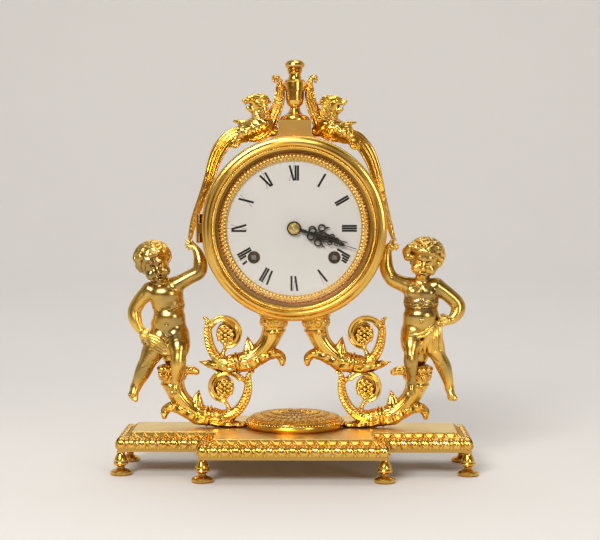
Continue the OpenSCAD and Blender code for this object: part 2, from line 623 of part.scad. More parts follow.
// Pierced serpentine hands
arbor_r = 1.2;
cannon_r = 1.9;
pipe_r = 2.7;
hour_y = dial_y - 2.2;
minute_y = hour_y - 1.6;
hand_t = 0.5;
module eyelet(x, y, r, w) {
    translate([x, y]) difference() {
        circle(r = r, $fn = 24);
        circle(r = r - w, $fn = 24);
    }
}
module pierced_blade(reach, bow) {
    polygon([[-0.9, 2], [0.9, 2], [0.7, reach * 0.45], [0.45, reach * 0.8], [0.12, reach],
        [-0.12, reach], [-0.45, reach * 0.8], [-0.7, reach * 0.45]]);
    for (s = [-1, 1]) {
        eyelet(s * bow * 0.75, reach * 0.32, bow, 0.8);
        eyelet(s * bow * 0.55, reach * 0.43, bow * 0.75, 0.7);
        eyelet(s * bow * 0.6, reach * 0.6, bow * 0.65, 0.7);
        eyelet(s * bow * 0.35, reach * 0.74, bow * 0.45, 0.6);
    }
}
module minute_hand() {
    color(black) at_dial() slab_y(minute_y, minute_y + hand_t) rotate(-minute_at) difference() {
        union() {
            circle(r = 4.2, $fn = 32);
            pierced_blade(minute_reach, 2.3);
        }
        circle(r = cannon_r, $fn = 32);
    }
}
module hour_hand() {
    color(black) at_dial() difference() {
        union() {
            slab_y(hour_y, hour_y + hand_t) rotate(-hour_at) {
                circle(r = 5, $fn = 32);
                pierced_blade(hour_reach, 2.6);
                for (s = [-1, 1]) eyelet(s * 5.2, hour_reach / 2, 3, 0.8);
            }
            slab_y(hour_y + 0.1, hour_y + hand_t + 1) circle(r = 3.3, $fn = 32);
        }
        bar_y(pipe_r, hour_y - 1, hour_y + 3, 32);
    }
}
module hand_cap() {
    y = minute_y;
    color(brass) at_dial() turn_y([[arbor_r, y], [4, y], [4, y - 0.5], [3.2, y - 1.3],
        [2, y - 2], [0, y - 2.2], [0, y - 1.6], [arbor_r, y - 1.6]]);
}

// Round rear door
module rear_door() {
    r = drum_r - 1;
    third = knuckle_l / 3;
    y = rear_y + gap;
    color(gilt) difference() {
        union() {
            at_dial() turn_y([[0, y], [r, y], [r, y + 1.2], [r - 1.6, y + 2.2], [r - 5, y + 2.2],
                [r - 6, y + 1.4], [4, y + 1.4], [3.4, y + 2.4], [2.2, y + 3.4], [2.8, y + 5],
                [2.2, y + 6.2], [0, y + 6.6]]);
            translate([door_x, door_y, dial_z]) {
                knuckle(-third / 2, third / 2);
                translate([-4, 0, -third / 2]) cube([4, 1.4, third]);
            }
        }
        translate([door_x, door_y, dial_z - 20]) cylinder(r = pin_r + fit, h = 40, $fn = 24);
        for (k = [0:11]) at([34 * cos(30 * k), 34 * sin(30 * k)]) bar_y(2.6, rear_y, rear_y + 4, 24);
    }
}

// Movement plates
pillar_at = [[-31.5, 31.5], [31.5, 31.5], [-37, 7], [37, 7], [0, -36]];
second_at = meet([0, 0], 18, wind, 26.4, 1);
third_at = [0, 17.5];
escape_at = third_at + [0, 13.5];
lever_at = [-8.6, 33.4];
balance_at = [-18.4, 35.6];
minute_wheel_at = [0, -12];
fly_at = flip(second_at) + 17.4 * [cos(117), sin(117)];
hammer_at = [-12.2, 27];
bell_at = [8, -8];
module plate_outline() {
    x = plate_x;
    polygon([[-x, -26], [-x + 12, -x], [x - 12, -x], [x, -26], [x, 28], [x - 12, x],
        [-x + 12, x], [-x, 28]]);
}
module hole_at(p, r) {
    translate(p) circle(r = r + fit, $fn = 24);
}
pivot_r = 0.9;
wind_r = 2;
module plate_holes() {
    for (p = [wind, flip(wind)]) hole_at(p, wind_r);
    for (p = [second_at, flip(second_at), third_at, escape_at, fly_at, lever_at]) hole_at(p, pivot_r);
}
module front_plate() {
    color(brass) at_dial() slab_y(front_plate_y, front_plate_y + plate_t) difference() {
        union() {
            plate_outline();
            for (a = [45, 135, 225, 315]) rotate(a) translate([44, -6]) square([12, 12]);
        }
        plate_holes();
        hole_at([0, 0], arbor_r);
        hole_at(hammer_at, pivot_r);
        hole_at(balance_at, pivot_r);
        for (a = [60, 180, 300]) translate([36 * sin(a), 36 * cos(a)]) circle(r = 1.4, $fn = 24);
    }
}
module back_plate() {
    color(brass) at_dial() slab_y(back_plate_y, back_plate_y + plate_t) difference() {
        plate_outline();
        plate_holes();
        hole_at([0, 0], pivot_r);
        hole_at(hammer_at, wind_r);
        hole_at(balance_at, 1.4);
    }
}
module plate_pillars() {
    color(brass) for (p = pillar_at) at(p) {
        bar_y(2.6, front_plate_y + plate_t, back_plate_y);
        bar_y(2.9, -6, -1);
    }
}
module movement_brackets() {
    y = front_plate_y + plate_t;
    color(steel) for (a = [45, 135, 225, 315]) at_dial() rotate([0, a, 0]) difference() {
        union() {
            translate([47.6, y, -4.5]) cube([8, 1.5, 9]);
            translate([54.5, y, -4.5]) cube([5.2, 10.4, 9]);
        }
        translate([0, -50, -30]) difference() {
            translate([50, 0, 0]) cube([20, 100, 60]);
            translate([0, 100, 30]) rotate([90, 0, 0]) cylinder(r = bore_r, h = 100, $fn = 96);
        }
    }
}

// Going side: spring barrel, its arbor and the train to the escapement
barrel_r = 20;
great_n = 56;
great_m = 0.8;
wind_core_r = 2.6;
module barrel(c, out) {
    difference() {
        union() {
            slab_y(-8.5, -6) gear(great_n, great_m, bearing(c, out));
            bar_y(barrel_r, -6, 10, 72);
        }
        difference() {
            bar_y(barrel_r - 1.2, -6.5, 8.8, 72);
            bar_y(4.4, -6.5, -4.5);
            bar_y(4.4, 7.5, 8.8);
        }
        bar_y(wind_core_r + fit, -10, 12);
    }
}
module time_barrel() {
    color(brass) at(wind) barrel(wind, second_at);
}
module strike_barrel() {
    color(brass) at(flip(wind)) barrel(flip(wind), flip(second_at));
}
// Coiled ribbon, tight against the barrel's wall
coil_turns = 7;
module mainspring() {
    inner = function(t) 11 + (barrel_r - 1.2 - 11) * t;
    n = coil_turns * 20;
    slab_y(-3.6, 6.6) polygon(concat(
        [for (k = [0:n]) spoke(inner(k / n), 360 * coil_turns * k / n)],
        [for (k = [n:-1:0]) spoke(inner(k / n) - 0.4, 360 * coil_turns * k / n)]));
}
module time_mainspring() {
    color(steel) at(wind) mainspring();
}
module strike_mainspring() {
    color(steel) at(flip(wind)) mainspring();
}
// Winding arbor: square front end, ratchet wheel in front of the plate
ratchet_n = 24;
ratchet_r = 9;
root_r = 7.9;
module ratchet() {
    polygon([for (i = [0:ratchet_n - 1]) each [spoke(ratchet_r, 360 * i / ratchet_n),
        spoke(root_r, 360 * (i + 0.08) / ratchet_n)]]);
}
module winding_arbor() {
    color(steel) {
        slab_y(dial_y - 0.5, -24) square(3.2, center = true);
        slab_y(-24.2, -22.6) ratchet();
        bar_y(wind_r, -24, back_plate_y + plate_t + 0.6, 32);
        bar_y(wind_core_r, -19, 12, 32);
        bar_y(4, -4, 7, 32);
    }
}
module time_arbor() {
    at(wind) winding_arbor();
}
module strike_arbor() {
    at(flip(wind)) mirror([1, 0, 0]) winding_arbor();
}
// Click on the front plate, its beak against a tooth's steep face at 120 degrees
beak_at = 122.6;
click_pin = spoke(8.5, beak_at) + spoke(8, beak_at + 90);
module click() {
    lift = spoke(1.4, beak_at);
    color(steel) slab_y(-24.1, -22.8) difference() {
        union() {
            translate(click_pin) circle(r = 1.8, $fn = 24);
            polygon([spoke(8.1, 122.1), spoke(9.7, 121.3), click_pin + lift, click_pin - lift,
                spoke(9.35, 134), spoke(8.35, 124.5)]);
        }
        translate(click_pin) circle(r = 0.8 + fit, $fn = 24);
    }
}
module time_click() {
    at(wind) click();
}
module strike_click() {
    at(flip(wind)) mirror([1, 0, 0]) click();
}

module arbor(r, y0 = front_plate_y, y1 = back_plate_y + plate_t) {
    bar_y(pivot_r, y0, y1, 24);
    bar_y(r, front_plate_y + plate_t + 0.3, back_plate_y - 0.3, 24);
}
module second_wheel() {
    color(brass) at(second_at) {
        arbor(1.4);
        slab_y(-9.6, -5) gear(10, great_m, bearing(second_at, wind) + 18);
        slab_y(-14.6, -13) crossed_wheel(48, 0.6, bearing(second_at, [0, 0]));
    }
}
module centre_arbor() {
    color(steel) at_dial() {
        bar_y(arbor_r, minute_y - 1.6, front_plate_y + plate_t + 1, 32);
        arbor(1.8, front_plate_y + plate_t);
        slab_y(-15.4, -12) gear(12, 0.6, bearing([0, 0], second_at) + 15);
        slab_y(11, 12.4) crossed_wheel(60, 0.5, 90);
    }
}
module cannon_pinion() {
    color(steel) at_dial() difference() {
        union() {
            bar_y(cannon_r, minute_y, -22.6, 32);
            slab_y(-24.2, -22.6) gear(12, 0.5, -90);
        }
        bar_y(arbor_r, -40, -20, 32);
    }
}
module third_wheel() {
    color(brass) at(third_at) {
        arbor(1.2);
        slab_y(10, 13) gear(10, 0.5, -90 + 18);
        slab_y(2, 3.2) crossed_wheel(50, 0.45, 90);
    }
}
escape_r = 6.4;
module escape_wheel() {
    color(brass) at(escape_at) {
        arbor(1);
        slab_y(1, 4.2) gear(10, 0.45, -90 + 18);
        slab_y(8, 8.9) difference() {
            union() {
                circle(r = escape_r - 1.4, $fn = 32);
                for (k = [0:14]) rotate(24 * k) polygon([[0, escape_r - 2.2], [1, escape_r - 2.2],
                    [-0.1, escape_r], [-0.7, escape_r]]);
            }
            difference() {
                circle(r = escape_r - 2.2, $fn = 32);
                circle(r = 1.8, $fn = 24);
                for (k = [0:3]) rotate(90 * k) translate([-0.4, 0]) square([0.8, escape_r]);
            }
        }
    }
}
module pallet_lever() {
    toward = bearing(lever_at, balance_at);
    color(steel) at(lever_at) {
        arbor(0.95);
        slab_y(7.8, 9.1) rotate(toward) {
            circle(r = 1.8, $fn = 24);
            translate([0, -0.5]) square([7.2, 1]);
            for (s = [-1, 1]) translate([6.4, s * 0.95 - 0.35]) square([1.6, 0.7]);
            translate([6.2, -1.3]) square([0.7, 2.6]);
            translate([-0.6, -4.2]) square([1.2, 8.4]);
        }
    }
}
balance_r = 8;
module balance_wheel() {
    color(brass) at(balance_at) {
        bar_y(0.85, front_plate_y, back_plate_y + 7.4, 24);
        bar_y(1.3, 7, back_plate_y + 2.6, 24);
        slab_y(back_plate_y + 2.6, back_plate_y + 4.2) {
            difference() {
                circle(r = balance_r, $fn = 64);
                circle(r = balance_r - 1.5, $fn = 64);
            }
            circle(r = 2.2, $fn = 32);
            for (k = [0, 1]) rotate(90 * k) translate([-balance_r + 0.6, -0.6])
                square([2 * balance_r - 1.2, 1.2]);
        }
    }
}
module balance_cock() {
    y = back_plate_y + plate_t;
    color(brass) at(balance_at) difference() {
        union() {
            translate([-1.8, y + 5, -2.6]) cube([16.4, 1.6, 5.2]);
            translate([10.6, y, -2.6]) cube([4, 6.6, 5.2]);
            bar_y(3, y + 5, y + 6.6, 32);
        }
        bar_y(0.85 + fit, y, y + 10, 24);
    }
}

// Motion work under the dial
module minute_wheel() {
    color(brass) at(minute_wheel_at) difference() {
        union() {
            slab_y(-24.2, -22.8) crossed_wheel(36, 0.5, 90 + 5);
            slab_y(-27.6, -24.2) gear(10, 0.48, 90);
            bar_y(1.5, -27.6, -22.4, 24);
        }
        bar_y(0.8 + fit, -30, -20, 24);
    }
}
module hour_wheel() {
    color(brass) at_dial() difference() {
        union() {
            slab_y(-27.2, -26) gear(40, 0.48, -90 + 4.5);
            bar_y(pipe_r, hour_y, -25.4, 32);
        }
        bar_y(cannon_r + fit, -40, -20, 32);
    }
}

// Striking side: pin wheel, fly, hammer and bell
module strike_wheel() {
    c = flip(second_at);
    color(brass) at(c) {
        arbor(1.4);
        slab_y(-9.6, -5) gear(10, great_m, bearing(c, flip(wind)) + 18);
        slab_y(-11.4, -10) crossed_wheel(48, 0.6, bearing(c, fly_at));
        for (k = [0:7]) rotate([0, 45 * k, 0]) translate([13, 0, 0]) bar_y(0.6, -10.2, -8.9, 16);
    }
}
module strike_fly() {
    color(brass) at(fly_at) {
        arbor(1);
        slab_y(-12.4, -9.4) gear(10, 0.6, bearing(fly_at, flip(second_at)) + 18);
        for (s = [0, 180]) rotate([0, s, 0]) translate([0.4, -4, -0.3]) cube([7, 12, 0.6]);
    }
}
hammer_reach = 26;
hammer_angle = 250;
module hammer() {
    dir = [cos(hammer_angle), sin(hammer_angle)];
    color(steel) at(hammer_at) {
        bar_y(pivot_r, front_plate_y, -18, 24);
        bar_y(1.2, -20, back_plate_y - 0.3, 24);
        bar_y(1.2, back_plate_y - 1, 23, 24);
        slab_y(-9.8, -8.9) rotate(hammer_angle + 6) translate([0, -0.6]) square([9.7, 1.2]);
        slab_y(20, 22) rotate(hammer_angle) translate([0, -0.8]) square([hammer_reach, 1.6]);
        translate([dir[0] * hammer_reach, 0, dir[1] * hammer_reach]) bar_y(3.4, 18, 24, 32);
    }
}
bell_r = 26.6;
module bell() {
    color(bright) at(bell_at) turn_y(concat([[1.5 + fit, 27.4], [6, 27.3]],
        [for (a = [70:-14:0]) [bell_r - 1.6 - 7 + 7 * cos(a) - (bell_r - 17) * sin(a) * 0.9, 19 + 8 * sin(a)]],
        [[bell_r - 1.6, 18.2], [bell_r, 18.2]],
        [for (a = [0:14:70]) [bell_r - 7 + 7 * cos(a) - (bell_r - 17) * sin(a) * 0.9, 19.6 + 9 * sin(a)]],
        [[6, 28.8], [1.5 + fit, 28.8]]));
}
module bell_post() {
    color(steel) at(bell_at) {
        bar_y(2.6, back_plate_y + plate_t, 27.3, 32);
        bar_y(1.5, 27, 29.6, 32);
    }
}

base_plate();
wing_feet();
bay_feet();
boss_patera();
cornucopia_lower_left();
cornucopia_lower_right();
cornucopia_upper_left();
cornucopia_upper_right();
putto_left();
putto_right();
crest_left();
crest_right();
mount_screws();
pedestal_block();
urn_body();
urn_lid();
finial_knob();
urn_rod();
drum_case();
bezel();
bezel_pin();
bezel_glass();
glass_ring();
sight_ring();
dial();
dial_feet();
winding_grommets();
hour_hand();
minute_hand();
hand_cap();
rear_door();
door_pin();
movement_brackets();
front_plate();
back_plate();
plate_pillars();
time_barrel();
time_mainspring();
time_arbor();
time_click();
second_wheel();
centre_arbor();
cannon_pinion();
third_wheel();
escape_wheel();
pallet_lever();
balance_wheel();
balance_cock();
minute_wheel();
hour_wheel();
strike_barrel();
strike_mainspring();
strike_arbor();
strike_click();
strike_wheel();
strike_fly();
hammer();
bell();
bell_post();
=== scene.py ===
# %% [markdown]
# # A gilt table clock with two child figures
# The clock is a set of castings screwed to a moulded plinth: horns of plenty carry a round drum,
# a child stands on each side with one hand at a long leafy strap, and two winged creatures sit
# against a small urn on top. The measured solids come in as a fixed frame, in metres, with the
# dial facing -Y. This lesson gives each of them its finish and carves what a solid can't show.

# %% Load the frame
import math
import bmesh
import bpy
import numpy as np
from mathutils import Matrix, Vector


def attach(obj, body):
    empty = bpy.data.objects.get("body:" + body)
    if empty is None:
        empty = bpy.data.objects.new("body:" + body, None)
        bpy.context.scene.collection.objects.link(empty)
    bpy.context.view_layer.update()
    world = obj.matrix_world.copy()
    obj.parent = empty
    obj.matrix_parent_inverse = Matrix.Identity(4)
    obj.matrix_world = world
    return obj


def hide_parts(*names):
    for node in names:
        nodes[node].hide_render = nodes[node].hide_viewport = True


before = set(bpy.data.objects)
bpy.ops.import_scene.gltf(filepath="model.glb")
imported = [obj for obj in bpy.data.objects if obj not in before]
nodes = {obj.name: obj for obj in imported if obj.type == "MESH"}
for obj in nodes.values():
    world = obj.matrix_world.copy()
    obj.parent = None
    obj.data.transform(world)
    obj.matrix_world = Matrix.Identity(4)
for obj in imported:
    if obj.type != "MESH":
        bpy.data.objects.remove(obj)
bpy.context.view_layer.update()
MM = 0.001

# %% [markdown]
# ## Camera
# The photograph was taken from a little above the dial's middle with a long lens. A camera can
# be guessed and nudged, but here its place was worked out once from the feet, the plinth, the
# drum and the knob, whose real places are known, so the frame and the picture line up.

# %% Camera
PICTURE_WIDTH = 600
SENSOR = 36.0
FOCAL_PIXELS = 1661.0
CAMERA_PLACE = (0.02213, -1.20003, 0.21906)
LOOKS_DOWN, LOOKS_LEFT = 3.55, 0.88


def linked(name, data):
    """Makes an object of some data and puts it in the scene."""
    made = bpy.data.objects.new(name, data)
    bpy.context.scene.collection.objects.link(made)
    return made


camera_data = bpy.data.cameras.new("camera")
camera_data.sensor_width = SENSOR
camera_data.lens = FOCAL_PIXELS * SENSOR / PICTURE_WIDTH
camera = linked("camera", camera_data)
camera.location = CAMERA_PLACE
camera.rotation_euler = (math.radians(90 - LOOKS_DOWN), 0, math.radians(LOOKS_LEFT))
bpy.context.scene.camera = camera
print("lens in mm:", round(camera_data.lens, 2))

# %% [markdown]
# ## Floor
# Polished metal shows the room in it more than its own colour, so the room matters. A studio
# sweep could be a bent sheet behind the clock, but the clock is looked at from all sides, so the
# sweep here is a wide shallow bowl: a flat floor that rises into a pale wall all round.

# %% Floor and wall
FLOOR_RADIUS, BEND_RADIUS, WALL_HEIGHT = 1.9, 1.3, 3.2
BEND_STEPS, SPIN_STEPS = 24, 96


def sweep_profile():
    """Radius and height along the bowl: a flat floor, a quarter round, a wall."""
    arc = [(FLOOR_RADIUS + BEND_RADIUS * math.sin(a), BEND_RADIUS * (1 - math.cos(a)))
           for a in (math.pi / 2 * k / BEND_STEPS for k in range(BEND_STEPS + 1))]
    return ([(0.0, 0.0), (FLOOR_RADIUS / 2, 0.0)] + arc
            + [(FLOOR_RADIUS + BEND_RADIUS, WALL_HEIGHT)])


def mesh_of(name, build):
    """Turns a finished bmesh into a mesh."""
    mesh = bpy.data.meshes.new(name)
    build.to_mesh(mesh)
    build.free()
    return mesh


def turned_mesh(name, profile):
    """Spins points of radius and height about Z into a mesh."""
    build = bmesh.new()
    corners = [build.verts.new((r, 0, z)) for r, z in profile]
    edges = [build.edges.new(pair) for pair in zip(corners, corners[1:])]
    bmesh.ops.spin(build, geom=corners + edges, axis=(0, 0, 1), cent=(0, 0, 0),
                   angle=2 * math.pi, steps=SPIN_STEPS)
    bmesh.ops.remove_doubles(build, verts=build.verts, dist=1e-6)
    mesh = mesh_of(name, build)
    mesh.shade_smooth()
    return mesh


sweep = linked("studio_sweep", turned_mesh("studio_sweep", sweep_profile()))
print("sweep is", round(sweep.dimensions.x, 2), "m across")

# %% [markdown]
# ## Paints and metals
# Every finish is a Principled surface. Its colour and roughness wander a little with noise, as
# lacquer and old gilding do, and a fine bump gives the skin of a casting. One helper mixes two
# colours over the piece, and each finish sets only what makes it different.

# %% Finish helper
def mixed_base(made, tone, tone_input, factor):
    """Mixes a tone into a finish's colour: input A is where the factor is 0, B where it is 1."""
    tree = made.node_tree
    base = tree.nodes["Principled BSDF"].inputs["Base Color"]
    before = base.links[0].from_socket
    mix = tree.nodes.new("ShaderNodeMix")
    mix.data_type = "RGBA"
    mix.inputs[tone_input].default_value = (*tone, 1)
    tree.links.new(factor, mix.inputs["Factor"])
    tree.links.new(before, mix.inputs["B" if tone_input == "A" else "A"])
    tree.links.new(mix.outputs["Result"], base)


def finish(name, light, dark, rough, metal=1.0, patch=40.0, grain=900.0, bump=0.05, hollow=None,
           wander=0.06, hollow_reach=0.004):
    """A surface whose colour runs between two tones, with painted shade in its hollows if asked."""
    made = bpy.data.materials.new(name)
    made.use_nodes = True
    tree = made.node_tree
    shader = tree.nodes["Principled BSDF"]
    shader.inputs["Metallic"].default_value = metal
    place = tree.nodes.new("ShaderNodeTexCoord")
    wide = tree.nodes.new("ShaderNodeTexNoise")
    wide.inputs["Scale"].default_value = patch
    wide.inputs["Detail"].default_value = 5.0
    fine = tree.nodes.new("ShaderNodeTexNoise")
    fine.inputs["Scale"].default_value = grain
    fine.inputs["Detail"].default_value = 3.0
    for noise in (wide, fine):
        tree.links.new(place.outputs["Object"], noise.inputs["Vector"])
    tones = tree.nodes.new("ShaderNodeValToRGB")
    tones.color_ramp.elements[0].position = 0.36
    tones.color_ramp.elements[0].color = (*dark, 1)
    tones.color_ramp.elements[1].position = 0.62
    tones.color_ramp.elements[1].color = (*light, 1)
    tree.links.new(wide.outputs["Fac"], tones.inputs["Fac"])
    tree.links.new(tones.outputs["Color"], shader.inputs["Base Color"])
    # Painted shade: an occlusion mask runs the colour to the hollow tone in creases and recesses.
    if hollow:
        shade = tree.nodes.new("ShaderNodeAmbientOcclusion")
        shade.samples = 6
        shade.inputs["Distance"].default_value = hollow_reach
        curve = tree.nodes.new("ShaderNodeMapRange")
        curve.inputs["From Min"].default_value = 0.25
        curve.inputs["From Max"].default_value = 0.85
        tree.links.new(shade.outputs["AO"], curve.inputs["Value"])
        mixed_base(made, hollow, "A", curve.outputs["Result"])
    spread = tree.nodes.new("ShaderNodeMapRange")
    spread.inputs["To Min"].default_value = max(rough - wander, 0.02)
    spread.inputs["To Max"].default_value = rough + wander
    tree.links.new(wide.outputs["Fac"], spread.inputs["Value"])
    tree.links.new(spread.outputs["Result"], shader.inputs["Roughness"])
    if bump:
        relief = tree.nodes.new("ShaderNodeBump")
        relief.inputs["Strength"].default_value = bump
        relief.inputs["Distance"].default_value = 0.3 * MM
        tree.links.new(fine.outputs["Fac"], relief.inputs["Height"])
        tree.links.new(relief.outputs["Normal"], shader.inputs["Normal"])
    return made


paper = finish("pale_paper", (0.84, 0.825, 0.805), (0.83, 0.815, 0.795), 0.7, metal=0.0, patch=3.0,
               bump=0)
sweep.data.materials.append(paper)

# %% [markdown]
# The wall in front of the clock, behind the camera, is in shade in the picture: gilding shows
# it as the dark brown between the highlights. So the paper turns brown towards -Y, from just
# outside the picture's lower edge.

# %% Shaded wall
SHADE_FROM, SHADE_TO = -0.35, -1.1


def shaded_front(made, tone):
    tree = made.node_tree
    place = tree.nodes.new("ShaderNodeTexCoord")
    split = tree.nodes.new("ShaderNodeSeparateXYZ")
    forward = tree.nodes.new("ShaderNodeMapRange")
    forward.inputs["From Min"].default_value = SHADE_FROM
    forward.inputs["From Max"].default_value = SHADE_TO
    tree.links.new(place.outputs["Object"], split.inputs["Vector"])
    tree.links.new(split.outputs["Y"], forward.inputs["Value"])
    mixed_base(made, tone, "B", forward.outputs["Result"])


shaded_front(paper, (0.25, 0.16, 0.08))

# %% [markdown]
# ## The gilt and its neighbours
# The castings are brass under a warm lacquered gilding, bright on the worn high places and
# red-brown in the hollows, where painted shade is mixed with the dirt and lacquer that gather
# there. The children are worn closer to the bare brass. The movement's brass is plain and
# brushed, and the small parts are ground or blued steel.

# %% Metals
# The hollow tones are painted shade for creases and recesses, mixed with the lacquer there.
gilt = finish("lacquered_gilt", (0.92, 0.58, 0.13), (0.84, 0.48, 0.08), 0.2, patch=60,
              hollow=(0.30, 0.10, 0.012))
gilt_satin = finish("satin_gilt", (1.0, 0.78, 0.33), (0.97, 0.71, 0.26), 0.38, patch=90,
                    grain=1500, bump=0.12)
gilt_worn = finish("worn_gilt", (0.96, 0.60, 0.125), (0.42, 0.29, 0.095), 0.27, patch=38,
                   wander=0.1, hollow=(0.18, 0.07, 0.012))
sight_brass = finish("burnished_brass", (0.99, 0.67, 0.20), (0.92, 0.56, 0.13), 0.3,
                     hollow=(0.42, 0.17, 0.03), hollow_reach=0.0012)
movement_brass = finish("brushed_brass", (0.80, 0.64, 0.33), (0.72, 0.55, 0.26), 0.34)
ground_steel = finish("ground_steel", (0.56, 0.56, 0.57), (0.46, 0.46, 0.47), 0.3)
blued_steel = finish("blued_steel", (0.20, 0.22, 0.28), (0.13, 0.14, 0.18), 0.3)
bell_nickel = finish("nickelled_bell", (0.78, 0.76, 0.72), (0.70, 0.68, 0.64), 0.16)
cap_brass = finish("cap_brass", (0.92, 0.76, 0.34), (0.80, 0.62, 0.22), 0.3)
dark_bronze = finish("dark_bronze", (0.16, 0.13, 0.10), (0.10, 0.08, 0.06), 0.32)
enamel = finish("white_enamel", (0.76, 0.742, 0.732), (0.725, 0.705, 0.695), 0.16, metal=0.0,
                patch=25, bump=0.02)
enamel.node_tree.nodes["Principled BSDF"].inputs["Coat Weight"].default_value = 0.3
hand_black = finish("black_lacquer", (0.004, 0.004, 0.005), (0.006, 0.006, 0.007), 0.5,
                    metal=0.0, bump=0.03)
print("finishes:", len(bpy.data.materials))

# %% [markdown]
# The plinth's gilt is brushed to a satin finish. Its upright faces are painted darker than its
# flat top: painted shade, as they face the shaded wall in front while the top faces the light
# above. One material can hold both, because the way a face points tells which of the two it is.

# %% Painted shade on upright faces
def shaded_upright_faces(made, tone):
    tree = made.node_tree
    facing = tree.nodes.new("ShaderNodeNewGeometry")
    split = tree.nodes.new("ShaderNodeSeparateXYZ")
    tree.links.new(facing.outputs["Normal"], split.inputs["Vector"])
    mixed_base(made, tone, "A", split.outputs["Z"])


# Painted shade: upright faces of the plinth and pedestal take the darker tone, flat tops keep the
# bright one.
shaded_upright_faces(gilt_satin, (0.62, 0.38, 0.10))

# %% [markdown]
# ## Glass
# The glass is thin and clear. Full refraction would be slow and would hide the dial in other
# viewers, so the sheet lets light straight through and mirrors a small, constant part of it. A
# part that grows at a grazing angle would hide the dial in any view from the side.

# %% Glass
MIRRORED_PART = 0.04


def clear_glass():
    made = bpy.data.materials.new("clear_glass")
    made.use_nodes = True
    tree = made.node_tree
    tree.nodes.clear()
    out = tree.nodes.new("ShaderNodeOutputMaterial")
    through = tree.nodes.new("ShaderNodeBsdfTransparent")
    through.inputs["Color"].default_value = (0.975, 0.98, 0.975, 1)
    shine = tree.nodes.new("ShaderNodeBsdfGlossy")
    shine.inputs["Roughness"].default_value = 0.02
    mix = tree.nodes.new("ShaderNodeMixShader")
    mix.inputs["Fac"].default_value = MIRRORED_PART
    tree.links.new(through.outputs["BSDF"], mix.inputs[1])
    tree.links.new(shine.outputs["BSDF"], mix.inputs[2])
    tree.links.new(mix.outputs["Shader"], out.inputs["Surface"])
    return made


glass = clear_glass()

# %% [markdown]
# ## Dressing the solids
# A solid whose shape is right keeps its mesh and only takes a finish. The list says which
# finish goes on which pieces, so that a reader can see the whole clock's materials at once.

# %% Dress the solids
FINISHES = [
    (gilt, "wing_feet bay_feet urn_body urn_lid finial_knob drum_case bezel "
           "rear_door boss_patera cornucopia_lower_left cornucopia_lower_right "
           "cornucopia_upper_left cornucopia_upper_right crest_left crest_right"),
    (gilt_satin, "base_plate pedestal_block"),
    (cap_brass, "hand_cap"),
    (gilt_worn, "putto_left putto_right"),
    (sight_brass, "sight_ring glass_ring"),
    (movement_brass, "front_plate back_plate plate_pillars time_barrel strike_barrel "
                     "second_wheel third_wheel escape_wheel minute_wheel hour_wheel strike_wheel "
                     "strike_fly balance_wheel balance_cock dial_feet"),
    (ground_steel, "mount_screws urn_rod bezel_pin door_pin movement_brackets time_arbor "
                   "strike_arbor centre_arbor cannon_pinion pallet_lever hammer bell_post"),
    (blued_steel, "time_mainspring strike_mainspring time_click strike_click"),
    (dark_bronze, "winding_grommets"),
    (bell_nickel, "bell"),
    (enamel, "dial"),
    (hand_black, "hour_hand minute_hand"),
    (glass, "bezel_glass"),
]
for surface, names in FINISHES:
    for name in names.split():
        nodes[name].data.materials.clear()
        nodes[name].data.materials.append(surface)
print("dressed:", sum(len(names.split()) for _, names in FINISHES), "of", len(nodes))

# %% [markdown]
# ## Modelling clay
# The horns, children and creatures were sculpted in wax before they were cast. A subdivision
# mesh could be pulled into shape by hand, but code has no hands. Here the wax is a block of
# numbers that give the distance to the surface at each point of a grid. Balls, limbs and swept
# forms melt into each other there, creases are pressed in, and the zero level is skinned. Empty
# clay lies FAR outside every form, and a form is worked out no further than SEAM around itself.

# %% Clay
FINE = 0.5
FAR = 9.0
SEAM = 4.0


class Clay:
    """A grid of distances in millimetres, negative inside the form."""

    def __init__(self, low, high):
        self.step = FINE
        self.low = np.array(low, float)
        self.count = np.ceil((np.array(high) - self.low) / self.step).astype(int) + 1
        self.field = np.full(self.count, FAR, np.float32)
        self.home, self.turn = np.zeros(3), np.eye(3)

    def place(self, home=(0, 0, 0), turn=None):
        """Points given after this are measured from home, turned by a matrix."""
        self.home = np.array(home, float)
        self.turn = np.eye(3) if turn is None else np.array(turn, float)

    def around(self, points, reach):
        """The part of the grid within reach of some points, and where its points lie."""
        world = np.atleast_2d(points) @ self.turn.T + self.home
        first = ((world.min(0) - reach - self.low) / self.step).astype(int)
        last = ((world.max(0) + reach - self.low) / self.step).astype(int) + 2
        first, last = np.clip(first, 0, self.count), np.clip(last, 0, self.count)
        part = tuple(slice(a, b) for a, b in zip(first, last))
        axes = [self.low[k] + self.step * np.arange(first[k], last[k]) - self.home[k]
                for k in range(3)]
        x, y, z = np.meshgrid(*axes, indexing="ij")
        t = self.turn
        return part, [(t[0, k] * x + t[1, k] * y + t[2, k] * z).astype(np.float32)
                      for k in range(3)]

    def join(self, part, new, soft):
        """Melts a form into the clay, with a fillet about as wide as soft."""
        old = self.field[part]
        blend = np.clip(0.5 + 0.5 * (old - new) / soft, 0, 1)
        self.field[part] = old + (new - old) * blend - soft * blend * (1 - blend)

    def cut(self, part, tool, soft):
        """Takes a form out of the clay."""
        old = self.field[part]
        blend = np.clip(0.5 - 0.5 * (old + tool) / soft, 0, 1)
        self.field[part] = old + (-tool - old) * blend + soft * blend * (1 - blend)


# %% [markdown]
# ### Tools for the clay
# A lump is a stretched ball, a limb is a tapering bar with round ends, and a press is a soft
# dent or, with a negative depth, a raised ridge along a line. A figure needs no other tools: a
# sketch of it starts from eggs and sausages on paper as well.

# %% Lumps, limbs and dents
def bar_distance(grid, a, b):
    """Distance to the line from a to b, and how far along it the nearest point lies."""
    a, b = np.array(a, np.float32), np.array(b, np.float32)
    along = b - a
    rel = [g - c for g, c in zip(grid, a)]
    t = sum(r * c for r, c in zip(rel, along)) / max(float(along @ along), 1e-9)
    t = np.clip(t, 0, 1)
    return np.sqrt(sum((r - t * c) ** 2 for r, c in zip(rel, along))), t


